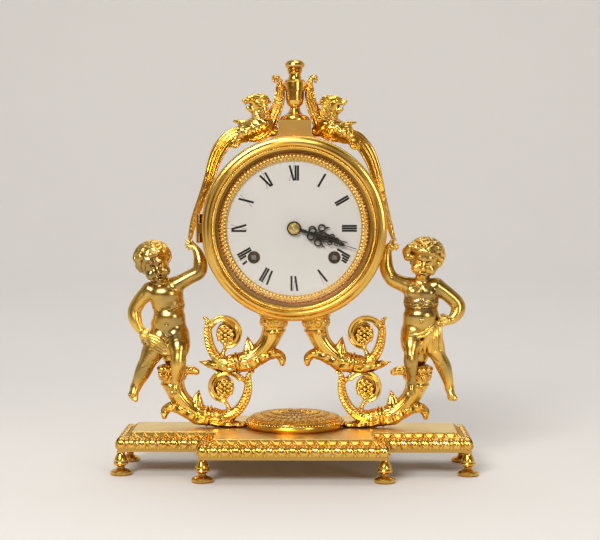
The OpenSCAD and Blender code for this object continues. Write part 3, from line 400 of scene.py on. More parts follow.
def limb(clay, points, radii, soft):
    """A chain of tapering bars, melted in as one piece."""
    part, grid = clay.around(points, max(radii) + SEAM)
    nearest = np.full(grid[0].shape, 1e3, np.float32)
    for a, b, ra, rb in zip(points, points[1:], radii, radii[1:]):
        distance, t = bar_distance(grid, a, b)
        nearest = np.minimum(nearest, distance - (ra + t * (rb - ra)))
    clay.join(part, nearest, soft)


def lump(clay, middle, radii, soft, taken=False):
    """A ball stretched to three radii, added or taken away."""
    radii = np.array(np.broadcast_to(radii, 3), float)
    part, grid = clay.around([middle], radii.max() + SEAM)
    scaled = [(g - c) / r for g, c, r in zip(grid, middle, radii)]
    size = np.sqrt(sum(s * s for s in scaled)) + 1e-6
    slope = np.sqrt(sum((s / r) ** 2 for s, r in zip(scaled, radii))) + 1e-6
    distance = size * (size - 1) / slope
    if taken:
        clay.cut(part, distance, soft)
    else:
        clay.join(part, distance, soft)


def press(clay, points, width, depth):
    """Dents the surface along a line, or raises it where depth is negative."""
    part, grid = clay.around(points, 3 * width)
    nearest = np.full(grid[0].shape, FAR, np.float32)
    for a, b in zip(points, points[1:]):
        nearest = np.minimum(nearest, bar_distance(grid, a, b)[0])
    clay.field[part] += depth * np.exp(-(nearest / width) ** 2)


# %% [markdown]
# ### Sweeps
# Horns, leaves, straps and wings all follow a curve that lies flat in the dial's plane. For
# each grid point the nearest place on the curve is found, then how far it lies to the side and
# to the front of it, and a small function turns that into a section with flutes or ribs. Each
# section is given the same six values, whether it needs them or not: the share and the length
# of the way along the curve, the two offsets, and the two half widths there.

# %% Sweeps
def smooth_path(points, between=5):
    """A finer path through all the points, with their widths."""
    points = np.array(points, float)
    padded = np.vstack([2 * points[0] - points[1], points, 2 * points[-1] - points[-2]])
    made = []
    for k in range(len(points) - 1):
        p0, p1, p2, p3 = padded[k:k + 4]
        for t in np.arange(between) / between:
            made.append(0.5 * (2 * p1 + (p2 - p0) * t + (2 * p0 - 5 * p1 + 4 * p2 - p3) * t * t
                               + (3 * p1 - p0 - 3 * p2 + p3) * t ** 3))
    return np.array(made + [points[-1]])


def swept(clay, points, section, soft):
    """Sweeps a section along points of x, z, half width in the plane and half width in Y."""
    path = smooth_path(points)
    spots = np.column_stack([path[:, 0], np.zeros(len(path)), path[:, 1]])
    part, (x, y, z) = clay.around(spots, path[:, 2:4].max() + SEAM)
    steps = np.hypot(np.diff(path[:, 0]), np.diff(path[:, 1]))
    run = np.concatenate([[0], np.cumsum(steps)])
    best = np.full(x.shape, 1e6, np.float32)
    side, far_along = np.zeros_like(best), np.zeros_like(best)
    for k, length in enumerate(steps):
        dx, dz = (path[k + 1, :2] - path[k, :2]) / length
        rx, rz = x - path[k, 0], z - path[k, 1]
        t = np.clip(rx * dx + rz * dz, 0, length)
        gap = (rx - t * dx) ** 2 + (rz - t * dz) ** 2
        closer = gap < best
        best = np.where(closer, gap, best)
        side = np.where(closer, rz * dx - rx * dz, side)
        far_along = np.where(closer, run[k] + t, far_along)
    off = np.sqrt(best)
    side = np.sign(side) * off
    wide = np.interp(far_along, run, path[:, 2]).astype(np.float32)
    thick = np.interp(far_along, run, path[:, 3]).astype(np.float32)
    clay.join(part, section(far_along / run[-1], far_along, side, y, wide, thick), soft)


def oval(side, front, wide, thick):
    """Distance to an oval, near enough, and the angle round it, 0 at the side."""
    turn = np.arctan2(front / thick, side / wide)
    reach = 1 / np.sqrt((np.cos(turn) / wide) ** 2 + (np.sin(turn) / thick) ** 2 + 1e-9)
    return np.hypot(side, front) - np.hypot(wide * np.cos(turn), thick * np.sin(turn)), turn


# %% [markdown]
# ### Skin
# The zero level is skinned with surface nets: each grid cell that the surface crosses gets one
# corner, at the mean of the crossings on its edges, and neighbouring cells are joined by
# four-sided faces. It is shorter than marching cubes and gives even faces that shade softly.

# %% Skin
CELL = np.array([[i, j, k] for i in (0, 1) for j in (0, 1) for k in (0, 1)])
EDGES = [(a, b) for a in range(8) for b in range(a + 1, 8) if abs(CELL[a] - CELL[b]).sum() == 1]


def skin(clay):
    """Corners in metres and four-sided faces of the clay's surface."""
    f = clay.field
    inside = f < 0
    shape = np.array(f.shape) - 1
    filled = sum(inside[tuple(slice(c, c + n) for c, n in zip(corner, shape))].astype(np.int8)
                 for corner in CELL)
    cells = np.argwhere((filled > 0) & (filled < 8))
    number = np.full(shape, -1, np.int64)
    number[tuple(cells.T)] = np.arange(len(cells))
    values = [f[tuple((cells + corner).T)] for corner in CELL]
    total, crossings = np.zeros((len(cells), 3)), np.zeros(len(cells))
    for a, b in EDGES:
        crossed = (values[a] < 0) != (values[b] < 0)
        t = np.where(crossed, values[a] / np.where(crossed, values[a] - values[b], 1), 0)[:, None]
        total += np.where(crossed[:, None], CELL[a] + t * (CELL[b] - CELL[a]), 0)
        crossings += crossed
    corners = (clay.low + clay.step * (cells + total / crossings[:, None])) * MM
    faces = []
    for axis in range(3):
        ahead = tuple(slice(1, None) if k == axis else slice(None) for k in range(3))
        behind = tuple(slice(None, -1) if k == axis else slice(None) for k in range(3))
        change = inside[behind] != inside[ahead]
        u, v = (axis + 1) % 3, (axis + 2) % 3
        spots = np.argwhere(change)
        for k in (u, v):
            spots = spots[(spots[:, k] > 0) & (spots[:, k] < shape[k])]
        du, dv = np.eye(3, dtype=int)[u], np.eye(3, dtype=int)[v]
        ring = np.column_stack([number[tuple((spots - a * du - b * dv).T)]
                                for a, b in ((1, 1), (0, 1), (0, 0), (1, 0))])
        outward = inside[tuple(spots.T)]
        faces.append(np.where(outward[:, None], ring, ring[:, ::-1]))
    return corners, np.vstack(faces)


def cast(name, corners, faces, surface, body, slot, flipped=False):
    """Makes a mesh object of corners and faces, dressed and riding on its body."""
    mesh = bpy.data.meshes.new(name)
    corners = corners * (-1, 1, 1) if flipped else corners
    faces = faces[:, ::-1] if flipped else faces
    mesh.vertices.add(len(corners))
    mesh.vertices.foreach_set("co", np.ascontiguousarray(corners, np.float32).ravel())
    mesh.loops.add(faces.size)
    mesh.loops.foreach_set("vertex_index", np.ascontiguousarray(faces, np.int32).ravel())
    mesh.polygons.add(len(faces))
    mesh.polygons.foreach_set("loop_start", np.arange(0, faces.size, 4, dtype=np.int32))
    mesh.update(calc_edges=True)
    mesh.shade_smooth()
    mesh.materials.append(surface)
    piece = linked(name, mesh)
    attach(piece, body)
    print(name, len(faces), "faces")
    return piece


# %% [markdown]
# ## Horns of plenty
# Each horn is one casting: a petalled mouth, a fluted body with a leaf along its belly, a ring,
# a cup of leaves, and a stem that rolls over into a scroll round a flower. Lower and upper horns
# are the same idea at two reaches, so one function carves both and a mirror gives the far side.

# %% Horn sections
NOTCH_DEPTH = 0.28
DISC_ROUNDING = 0.6


def fluted(flutes, depth, twist):
    """A round section with flutes that turn slowly along the horn."""
    def section(u, s, side, front, wide, thick):
        distance, turn = oval(side, front, wide, thick)
        ribs = np.abs(np.cos(flutes / 2 * turn + twist * s))
        return distance - depth * (ribs ** 0.8 - 0.6) * np.clip(wide / 4, 0.2, 1)
    return section


def roped(u, s, side, front, wide, thick):
    """A stem with two smooth rims and a twisted rope between them."""
    distance, _ = oval(side, front, wide, thick)
    middle = np.exp(-(side / (0.55 * wide)) ** 2)
    rope = 0.6 * np.sin(2 * np.pi * (s / 2.4 + 0.32 * side))
    rims = 0.5 * np.exp(-((np.abs(side) / wide - 0.74) / 0.18) ** 2)
    return distance - middle * rope * np.clip(wide / 2.5, 0, 1) - rims + 0.2


def rounded(a, b, rounding):
    """Distance to an edge between two planes at distances a and b, with a rounding."""
    outside = np.hypot(np.maximum(a, 0), np.maximum(b, 0))
    return outside + np.minimum(np.maximum(a, b), 0) - rounding


def scroll_strip(u, s, side, front, wide, thick):
    """A flat strip on edge, whose front and back edges have a channel between two rims."""
    rounding = 0.5
    channel = 0.75 * np.exp(-(side / (0.42 * wide)) ** 2)
    return rounded(np.abs(side) - (wide - rounding),
                   np.abs(front) - (thick - rounding) + channel, rounding)


def leaf_blade(lobes, veins):
    """A leaf that lies across Y: lobed edge, raised middle rib and ribs that fan to the edge."""
    def section(u, s, side, front, wide, thick):
        notch = np.abs(np.sin(np.pi * lobes * u))
        edge = thick * (1 - NOTCH_DEPTH + NOTCH_DEPTH * notch ** 0.6)
        across = np.abs(front) / np.maximum(edge, 0.2)
        skin_height = wide * (1 - 0.55 * np.clip(across, 0, 1.4) ** 2)
        vein = veins * np.cos(2 * np.pi * (np.abs(front) / 2.2 - s / 8.5))
        rib = 0.45 * np.exp(-(front / 0.7) ** 2)
        height = np.abs(side) - skin_height - (vein + rib) * np.clip(1.3 - across, 0, 1)
        return np.maximum(height, np.abs(front) - edge) * 0.8
    return section


def fan_leaf(u, s, side, front, wide, thick):
    """An upright leaf with ribs that run to its point, seen on its flat side."""
    distance, _ = oval(side, front, wide, thick)
    ribs = 0.35 * np.cos(2 * np.pi * 1.5 * side / np.maximum(wide, 0.8))
    return distance - ribs * np.clip(wide / 3, 0.1, 1)


def disc(clay, middle, axis, radius, half, soft=0.5):
    """A flat round plate about an axis, with rounded edges."""
    part, grid = clay.around([middle], radius + half + SEAM)
    rel = [g - c for g, c in zip(grid, middle)]
    along = sum(r * c for r, c in zip(rel, axis)) / math.sqrt(sum(c * c for c in axis))
    radial = np.sqrt(np.maximum(sum(r * r for r in rel) - along ** 2, 0))
    clay.join(part, rounded(radial - radius + DISC_ROUNDING, np.abs(along) - half + DISC_ROUNDING,
                            DISC_ROUNDING), soft)


# %% [markdown]
# The paths follow the ones that the solids are swept along: the mouth stands over -X, the ring
# is at the origin and the tail curls over at +X, round the flower. Reach stretches the tail.

# %% Horn paths
ROSE_X, ROSE_Z = 10.4, 20.2
MOUTH_X = -26.4


def horn_path(reach):
    return [(MOUTH_X, 33.2, 9.2, 9.2), (-26.2, 28.3, 8.6, 8.6), (-24.9, 21.5, 7.5, 7.5),
            (-21.8, 14.5, 6.8, 6.8), (-16, 8, 6.4, 6.6), (-8.5, 2.8, 6.0, 6.5), (0, 0, 5.9, 6.3),
            (7.5 * reach, -1, 5.5, 5.8), (13.5 * reach, 0.5, 4.6, 5.0), (17 * reach, 2.8, 3.6, 4.6)]


def stem_path(reach):
    return [(9 * reach, -0.6, 4.2, 4.6), (13.5 * reach, 0.5, 4.2, 4.8), (19 * reach, 4.8, 3.9, 4.6),
            (23 * reach, 11.6, 3.7, 4.4), (25 * reach, 19, 3.3, 4.0), (25.2 * reach, 25, 2.8, 3.4),
            (25.4 * reach, 29.4, 2.1, 2.8), (26.8 * reach, 31.8, 1.4, 2.2),
            (28.4 * reach, 32.4, 1.1, 1.8)]


def curl_path(reach):
    """The scroll, a spiral that widens from below the flower round to the stem."""
    steps, half_wide, half_deep = 12, 2.15, 4.3
    middle = ROSE_X * reach
    path = []
    for t in (k / steps for k in range(steps + 1)):
        angle = math.radians(-95 - 228 * t)
        radius = 8 + 5.2 * t
        path.append((middle + radius * math.cos(angle), ROSE_Z + radius * math.sin(angle),
                     half_wide, half_deep))
    return path


# %% [markdown]
# ### The flower in the scroll
# A rosette of two rings of petals round a bead, on a flat disc. It sits in a shallow cup inside
# the scroll, and the same flower is carved on the front and on the back.

# %% Rosette
BEAD_RAISED = 0.9
ROSETTE_FACE = 3.0


def flower(clay, middle, facing, petals, reach, size):
    """A ring of petals round a raised bead, on a surface that faces a direction."""
    facing = np.array(facing, float)
    across = np.cross(facing, (0.1, 0.2, 1.0))
    across /= np.linalg.norm(across)
    up = np.cross(across, facing)
    for k in range(petals):
        angle = 2 * math.pi * k / petals
        spot = np.array(middle) + reach * (math.cos(angle) * across + math.sin(angle) * up)
        lump(clay, spot, size, 0.25)
    lump(clay, np.array(middle) + facing * BEAD_RAISED * 0.4, size, 0.25)


def rosette(clay, x, z):
    """A thick disc on a thin one, with two rings of petals and a bead on both faces."""
    disc(clay, (x, 0, z), (0, 1, 0), 6.3, ROSETTE_FACE)
    disc(clay, (x - 2.0, 0, z + 1.4), (0, 1, 0), 8.6, 1.3)
    for side in (1, -1):
        for ring, (count, radius, size) in enumerate([(10, 5.3, 1.6), (6, 3.0, 1.45)]):
            for k in range(count):
                angle = 2 * math.pi * (k + 0.5 * ring) / count
                spot = (x + radius * math.cos(angle), side * (ROSETTE_FACE + 0.1 + 0.6 * ring),
                        z + radius * math.sin(angle))
                lump(clay, spot, (size, 1.2, size), 0.2)
        lump(clay, (x, side * (ROSETTE_FACE + 1.3), z), (1.4, 1.1, 1.4), 0.2)


# %% [markdown]
# ### One horn
# The body comes first, then the thick ribbed leaf that hugs its belly and hooks off it, and the
# small fan leaf on its back. The neck has a ring between two collars of petals. The mouth is a
# wide band with flowers on it; below, where the mouth is open, the band ends in a scalloped lip.

# %% Carve a horn
BELLY_LEAF = [(-1, -3.2, 3.2, 6.4), (-8, -1.6, 4.4, 7.4), (-15, 2.4, 4.2, 7.6),
              (-21, 5.0, 3.6, 6.8), (-26.4, 6.6, 3.2, 5.6), (-30.4, 5.4, 2.9, 4.6),
              (-32.2, 2.0, 2.3, 3.6), (-32.3, -0.8, 1.6, 2.4)]
BACK_LEAF = [(-8.8, 5.5, 6.2, 5.4), (-8.6, 9.6, 5.2, 4.8), (-8.1, 13.6, 3.4, 3.4),
             (-7.6, 16.6, 1.7, 2.0), (-7.2, 18.6, 0.5, 0.9)]
NECK_SLOPE = 0.24
COLLAR_PETALS, COLLAR_RADIUS = 9, 5.3
MOUTH_FLOWERS, LIP_LOBES = 9, 14


def collar(clay, x, run, size):
    """Petals round the neck that lie along it, from x on for a run in X."""
    for k in range(COLLAR_PETALS):
        angle = 2 * math.pi * (k + 0.5) / COLLAR_PETALS
        y, z = math.cos(angle), math.sin(angle)
        drop, lean = NECK_SLOPE * x, -NECK_SLOPE * run
        middle, end = COLLAR_RADIUS + 0.3, COLLAR_RADIUS * 0.9
        limb(clay, [(x, COLLAR_RADIUS * y, COLLAR_RADIUS * z - drop),
                    (x + 0.55 * run, middle * y, middle * z - drop + 0.55 * lean),
                    (x + run, end * y, end * z - drop + lean)], [size, size, size * 0.4], 0.35)


def carve_horn(clay, reach, open_mouth):
    rose_x = ROSE_X * reach
    swept(clay, curl_path(reach), scroll_strip, 0.5)
    swept(clay, horn_path(reach), fluted(10, 0.5, 0.03), 0.8)
    swept(clay, BELLY_LEAF, leaf_blade(4.5, 0.5), 0.7)
    swept(clay, BACK_LEAF, fan_leaf, 0.7)
    swept(clay, stem_path(reach), roped, 0.7)
    collar(clay, -3.0, -6.0, 1.9)
    collar(clay, 3.0, 7.0 * reach, 1.7)
    for x, radius, half in ((0, 7.9, 1.0), (-2.4, 7.2, 0.8), (2.4, 7.0, 0.8)):
        disc(clay, (x, 0, -NECK_SLOPE * x), (0.97, 0, -NECK_SLOPE), radius, half, 0.1)
    swept(clay, [(13 * reach, 3.6, 1.6, 3.8), (12.2 * reach, 7.6, 1.3, 3.0),
                 (rose_x - 0.4, ROSE_Z - 8.6, 1.1, 2.4), (rose_x + 0.5, ROSE_Z - 6, 1.6, 2.2)],
          leaf_blade(2, 0.2), 0.7)
    limb(clay, [(24.6 * reach, 0, 24.6), (rose_x + 8.7 * reach, 0, ROSE_Z + 9)], [1.9, 1.7], 0.8)
    rosette(clay, rose_x, ROSE_Z)
    limb(clay, [(MOUTH_X, 0, 24.6), (MOUTH_X, 0, 28), (MOUTH_X, 0, 33.4)], [7.9, 8.3, 9.4], 1.0)
    for z, radius in ((22.6, 8.9), (24.0, 8.4)):
        disc(clay, (-26.2, 0, z), (0.08, 0, 1), radius, 0.8, 0.3)
    for k in range(MOUTH_FLOWERS):
        angle = 2 * math.pi * k / MOUTH_FLOWERS
        x, y = math.cos(angle), math.sin(angle)
        flower(clay, (MOUTH_X + 9.3 * x, 9.3 * y, 29.2), (x, y, -0.2), 6, 1.9, 1.05)
        x, y = math.cos(angle + 0.35), math.sin(angle + 0.35)
        lump(clay, (MOUTH_X + 9.9 * x, 9.9 * y, 31.8), 1.0, 0.3)
    if open_mouth:
        disc(clay, (MOUTH_X, 0, 33.8), (0, 0, 1), 10.4, 1.2, 0.5)
        for k in range(LIP_LOBES):
            angle = 2 * math.pi * (k + 0.5) / LIP_LOBES
            x, y = math.cos(angle), math.sin(angle)
            lump(clay, (MOUTH_X + 9.4 * x, 9.4 * y, 34.8), (2.1, 2.1, 2.0), 0.4)
        limb(clay, [(-18.4, 0, 33.2), (-12, 0, 33.4), (-9.0, 0, 32.2)], [3.4, 3.2, 2.5], 0.8)
        lump(clay, (MOUTH_X, 0, 37.8), (8.4, 8.4, 4.0), 0.4, taken=True)


# %% [markdown]
# ### Four horns
# The lower pair opens outwards and stands on the plinth, the upper pair is turned over and opens
# under the drum. What touches is cut back as on the real castings: flat feet below, a plane
# where two horns meet, and a seat for the drum above.

# %% Set the horns
LOWER_RING, UPPER_RING = (62.7, 38.2), (41.5, 77.3)
MEETING = 70.6
DIAL_Z, DRUM_RADIUS = 175.9, 62.5
PLINTH_TOP = 30.0
BOSS_ROOM, BOSS_ROOM_TOP = 34.5, 36
UPPER_MOUTH_X = -15.1


def box_distance(grid, low, high):
    """Distance to an upright box, negative inside it."""
    gaps = [np.abs(g - (a + b) / 2) - (b - a) / 2 for g, a, b in zip(grid, low, high)]
    outside = np.sqrt(sum(np.maximum(g, 0) ** 2 for g in gaps))
    return outside + np.minimum(np.maximum(np.maximum(gaps[0], gaps[1]), gaps[2]), 0)


def whole(clay):
    """Every point of the clay, for the large cuts."""
    return clay.around([clay.low, clay.low + clay.step * clay.count], 0)


def lower_horn():
    clay = Clay((-106, -14, 27.5), (-22, 14, 77))
    clay.place((-LOWER_RING[0], 0, LOWER_RING[1]))
    carve_horn(clay, 1.14, True)
    clay.place()
    swept(clay, [(-62, 34.6, 3.0, 5.0), (-54, 33.2, 2.6, 6.4), (-46, 32.4, 2.2, 6.8),
                 (-38, 32.0, 1.8, 5.0), (-33.5, 31.8, 1.2, 2.6)], leaf_blade(3, 0.3), 0.8)
    part, grid = whole(clay)
    clay.cut(part, box_distance(grid, (-150, -50, 0), (0, 50, PLINTH_TOP + 0.05)), 0.1)
    above = np.clip(grid[2] - BOSS_ROOM_TOP, 0, 3)
    clay.cut(part, np.hypot(grid[0], grid[1]) - BOSS_ROOM + above * 12, 0.1)
    clay.cut(part, box_distance(grid, (-60, -20, MEETING), (-41, 20, MEETING + 20)), 0.1)
    return skin(clay)


def upper_horn():
    clay = Clay((-74, -14, 66), (-1, 14, 119))
    flip = np.diag([-1.0, 1.0, 1.0])
    clay.place((-UPPER_RING[0], 0, UPPER_RING[1]), flip)
    carve_horn(clay, 0.86, False)
    clay.place()
    limb(clay, [(-50.5, 0, 74.5), (-50.5, 0, 71)], [4.4, 3.6], 1.0)
    swept(clay, [(-46.5, 73.8, 2.6, 5.2), (-52.5, 73.7, 3.0, 5.2), (-58, 74.7, 2.8, 4.4),
                 (-62.5, 76.2, 2.2, 3.2), (-66, 77.0, 1.3, 2.0), (-68.9, 77.7, 0.5, 0.7)],
          leaf_blade(2.5, 0.3), 0.7)
    limb(clay, [(UPPER_MOUTH_X, 0, 108), (UPPER_MOUTH_X, 0, 116)], [9.9, 10.3], 0.5)
    disc(clay, (UPPER_MOUTH_X, 0, 111.6), (0, 0, 1), 10.9, 1.0, 0.3)
    part, grid = whole(clay)
    clay.cut(part, np.hypot(grid[0], grid[2] - DIAL_Z) - DRUM_RADIUS, 0.1)
    clay.cut(part, box_distance(grid, (-60, -20, MEETING - 20), (-41, 20, MEETING)), 0.1)
    return skin(clay)


for which, shape in (("lower", lower_horn()), ("upper", upper_horn())):
    for side, flipped in (("left", False), ("right", True)):
        horn = cast("horn_" + which + "_" + side, *shape, gilt, "clock", "gilt_brass", flipped)
        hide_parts("cornucopia_" + which + "_" + side)

# %% [markdown]
# ## Two children
# The supporting figures are chubby, calm and stylised. A figure could be one lump smoothed
# down, but it reads better when its parts are modelled as in a clay study: trunk, limbs, feet
# and hands, then cloth, and the head with its own tilt. One head serves both children. It is
# modelled upright, with one generic child's face.

# %% Head
def turned(tilt, nod, look):
    """A turn that leans a head to +X, bows it and looks to +X, in degrees."""
    tilt, look, nod = (Matrix.Rotation(math.radians(angle), 3, axis)
                       for angle, axis in ((tilt, "Y"), (look, "Z"), (nod, "X")))
    return np.array(tilt @ look @ nod)


def face(clay):
    """A child's face that looks to -Y, the chin at -13.5 and the eyes near the middle."""
    lump(clay, (0, 1.2, 3.2), (10.6, 11.4, 10.8), 2)
    lump(clay, (0, -2.4, -4.2), (8.5, 8.2, 9.0), 3)
    lump(clay, (0, -3.4, 3.2), (8.6, 7.4, 5.6), 2.5)
    lump(clay, (0, -7.8, -11.6), (2.8, 2.4, 2.2), 1.8)
    for side in (1, -1):
        lump(clay, (side * 5.2, -6.6, -6.2), (3.9, 3.7, 3.9), 1.6)
        lump(clay, (side * 3.8, -11.2, -0.7), (3.3, 3.2, 2.3), 0.7, taken=True)
        lump(clay, (side * 3.8, -8.2, -0.9), (2.0, 1.4, 1.4), 0.2)
        press(clay, [(side * 6.4, -8.0, -1.0), (side * 5.0, -9.8, 0.5), (side * 3.2, -10.2, 0.6),
                     (side * 1.9, -9.6, -0.9)], 0.5, -0.75)
        press(clay, [(side * 6.0, -8.2, -1.4), (side * 3.9, -9.7, -2.3), (side * 2.0, -9.4, -1.5)],
              0.45, -0.45)
        press(clay, [(side * 7.2, -7.4, 1.9), (side * 4.4, -9.9, 2.7), (side * 1.6, -10.2, 1.8)],
              1.0, -0.9)
        lump(clay, (side * 1.45, -10.7, -4.9), (1.1, 1.1, 0.9), 0.5)
        lump(clay, (side * 0.8, -12.2, -5.9), (0.5, 0.7, 0.5), 0.3, taken=True)
        lump(clay, (side * 1.5, -10.3, -8.3), (1.8, 1.0, 0.85), 0.4)
        lump(clay, (side * 3.7, -9.2, -9.0), (0.8, 0.7, 0.8), 0.6, taken=True)
        lump(clay, (side * 8.8, 0.6, -2.4), (1.5, 2.6, 3.4), 0.8)
    limb(clay, [(0, -9.8, 0.9), (0, -11.2, -2.4), (0, -12.4, -4.9)], [1.3, 1.25, 1.8], 0.7)
    lump(clay, (0, -10.3, -10.5), (2.1, 1.3, 1.0), 0.4)
    lump(clay, (0, -11.6, -9.3), (2.9, 2.0, 0.6), 0.25, taken=True)
    press(clay, [(0, -10.8, -6.4), (0, -10.8, -7.6)], 0.6, 0.4)


# %% [markdown]
# ### Hair
# Locks grow from evenly spread roots on the skull, follow a chosen flow, and curl as they go.
# A seeded shuffle keeps them from lining up. The hairline stays clear of the face, so a root is
# kept only where a child's hair would start, and a lock ends where it would reach the brow.

# %% Hair
SKULL, SKULL_SIZE = np.array([0, 1.6, 3.4]), np.array([11.4, 11.8, 10.0])
GOLDEN_ANGLE = 2.39996
LOCK_SIZES = (1.5, 1.75, 1.5, 1.1, 0.6)
LOCK_STEP = 0.19


def on_skull(direction, lift):
    return SKULL + direction / np.linalg.norm(direction / (SKULL_SIZE + lift))


def hair(clay, flow, curl, count, seed, low=-0.62, rise=0.0):
    """Locks that follow flow, each bending by about curl degrees a step."""
    pick = np.random.default_rng(seed)
    for k in range(count):
        z = 1 - 2 * (k + 0.5) / count
        angle, level = GOLDEN_ANGLE * k, math.sqrt(1 - z * z)
        root = np.array([level * math.cos(angle), level * math.sin(angle), z])
        if z < low or (root[1] < -0.2 and z < 0.3 - 0.35 * abs(root[0])):
            continue
        bend = math.radians(curl) * pick.choice([1, -1]) * pick.uniform(0.6, 1.2)
        heading = np.array(flow(root), float) + 0.35 * pick.normal(size=3)
        points = []
        for step in range(len(LOCK_SIZES)):
            points.append(on_skull(root, 0.3 + 1.1 * math.sin(math.pi * step / 4)) + (0, 0, rise))
            normal = root / np.linalg.norm(root)
            heading -= normal * (heading @ normal)
            heading /= np.linalg.norm(heading)
            heading = heading * math.cos(bend) + np.cross(normal, heading) * math.sin(bend)
            root = root + heading * LOCK_STEP
            root /= np.linalg.norm(root)
            if root[1] < -0.35 and root[2] < 0.25:
                break
        if len(points) > 2:
            limb(clay, points, LOCK_SIZES[:len(points)], 0.3)


# %% [markdown]
# ### Hands, feet and folds
# A hand is a palm with four fingers and a thumb that can be spread or closed. A foot is a short
# limb from the ankle to the ball, and five toes. Cloth is a row of overlapping folds.

# %% Hands, feet and folds
TOES = [(-1.9, 2.7, 1.25), (-0.6, 2.9, 0.95), (0.4, 2.6, 0.9), (1.3, 2.2, 0.85), (2.1, 1.6, 0.8)]


def chain(clay, points, soft=2.2):
    """A limb given as rows of x, y, z and radius, rounded between them."""
    path = smooth_path(points, 4)
    limb(clay, path[:, :3], path[:, 3], soft)


def fingers(clay, rows, size=1.05):
    for row in rows:
        limb(clay, row, list(np.linspace(size, size * 0.75, len(row))), 0.35)


def foot(clay, ankle, ball, across, size):
    """A small foot from the ankle to the ball, with its toes spread along across."""
    ankle, ball, across = (np.array(v, float) for v in (ankle, ball, across))
    limb(clay, [ankle, ball], [2.7 * size, 2.3 * size], 1.2)
    along = (ball - ankle) / np.linalg.norm(ball - ankle)
    for place, reach, width in TOES:
        tip = ball + (across * place + along * reach) * size
        limb(clay, [ball + across * place * size * 0.7, tip], [1.2 * size, width * size], 0.35)


def folds(clay, rows, size):
    for row in rows:
        path = smooth_path(row, 3)
        limb(clay, path, list(np.linspace(size, size * 0.75, len(path))), 0.5)


def carved(low, high, steps):
    """The skin of a block of clay between two corners, after some steps of work on it."""
    clay = Clay(low, high)
    for step in steps:
        step(clay)
    return skin(clay)


# %% [markdown]
# ### The child on the left
# This child leans its head to the shoulder, raises one arm to the strap and holds its cloth at
# the hip with the other hand. One leg hangs free and the other stands in front of the horn.

# %% Left child: trunk and limbs
def left_body(clay):
    lump(clay, (-93.4, -3.4, 127.0), (12.8, 9.0, 9.4), 3)
    lump(clay, (-91.6, -3.2, 119.5), (12.0, 8.6, 8.4), 3)
    lump(clay, (-90.8, -4.2, 110.8), (11.6, 9.2, 8.6), 3)
    lump(clay, (-91.8, -3.4, 105.6), (12.6, 8.8, 6.4), 3)
    lump(clay, (-90.8, -2.6, 100.0), (13.0, 9.4, 8.4), 3)
    chain(clay, [(-104.8, -3.6, 130.3, 5.4), (-95, -2.6, 133.6, 4.6), (-85.2, -3.6, 134.4, 5.4)],
          2.5)
    lump(clay, (-95.4, -7.4, 127.4), (9.4, 4.8, 6.4), 2.4)
    chain(clay, [(-97.6, -5.0, 138.5, 5.6), (-96, -3.4, 133.5, 6)], 1.8)
    chain(clay, [(-85.2, -3.8, 134.4, 5.6), (-76.4, -4, 139.4, 5.2), (-69.4, -4, 143.4, 5.3),
                 (-68.2, -3.8, 149.8, 5.0), (-69.8, -3.4, 156.6, 3.6), (-71.6, -3, 160.0, 2.8)])
    chain(clay, [(-104.8, -3.8, 130.2, 5.6), (-111.2, -3.8, 123.6, 5.3), (-115.8, -3.6, 115.6, 5.0),
                 (-115.2, -5, 108.6, 4.7), (-112.2, -7, 102.2, 3.2)])
    chain(clay, [(-85.4, -4, 97, 9.2), (-83.6, -9.6, 90.4, 8.2), (-83.2, -13.6, 84.6, 5.7),
                 (-83.6, -14.8, 77.4, 5.6), (-84.6, -13.6, 69, 4.0), (-85.4, -12.4, 64.6, 3.1)])
    chain(clay, [(-97.8, -3.6, 94.6, 9.2), (-102.4, -5.6, 86.4, 8.2), (-106.0, -6.8, 79.2, 6.4),
                 (-109.6, -5.6, 71.6, 6.0), (-113.4, -4.2, 63.8, 4.5), (-115.6, -4, 59.4, 3.7)])
    chain(clay, [(-89, 2, 92, 8), (-89, 1.6, 82, 7.6)], 1.5)
    foot(clay, (-85.6, -12.2, 64.2), (-85.8, -13.8, 59.8), (0.96, -0.1, 0.0), 1.25)
    foot(clay, (-115.6, -4.2, 59.4), (-116.6, -6.4, 55.2), (-0.9, -0.1, 0.4), 1.4)


# %% [markdown]
# The raised hand spreads its fingers at the strap's end, and the other one gathers the cloth.

# %% Left child: hands
def left_hands(clay):
    lump(clay, (-73.6, -2.6, 162.0), (2.9, 2.2, 2.6), 0.9)
    fingers(clay, [[(-74, -1.6, 163.2), (-76.6, -1.2, 165.4), (-78.4, -1, 166.3)],
                   [(-74.6, -2.4, 162.4), (-77.2, -2.6, 163.8), (-78.8, -2.6, 163.2)],
                   [(-74.4, -3.6, 161.4), (-76.6, -4.0, 162.0), (-78.0, -3.8, 161.2)],
                   [(-73.4, -4.4, 160.6), (-75.2, -4.9, 160.6), (-76.4, -4.6, 159.7)],
                   [(-72.8, -4.2, 163.2), (-74.4, -4.4, 165.8), (-75.8, -3.2, 167.0)]])
    lump(clay, (-109.0, -8.6, 99.4), (3.6, 2.8, 2.7), 0.8)
    fingers(clay, [[(-108.4, -10.8, 101.2), (-105.8, -11.6, 100.6), (-105.0, -10.2, 98.8)],
                   [(-109.2, -11.2, 99.8), (-106.4, -12.2, 99.0), (-105.8, -10.6, 97.4)],
                   [(-110.2, -11.0, 98.2), (-107.6, -12.0, 97.2), (-107.0, -10.4, 96.0)],
                   [(-111.0, -10.2, 97.0), (-109.0, -11.2, 95.8), (-108.6, -9.8, 95.0)],
                   [(-110.4, -8.4, 101.6), (-107.6, -9.4, 102.6), (-105.4, -10.2, 102.0)]], 1.15)


# %% [markdown]
# Five folds run from the hand across the hip and three hang from their end. Then the creases of
# the chest, belly and joints are pressed in.

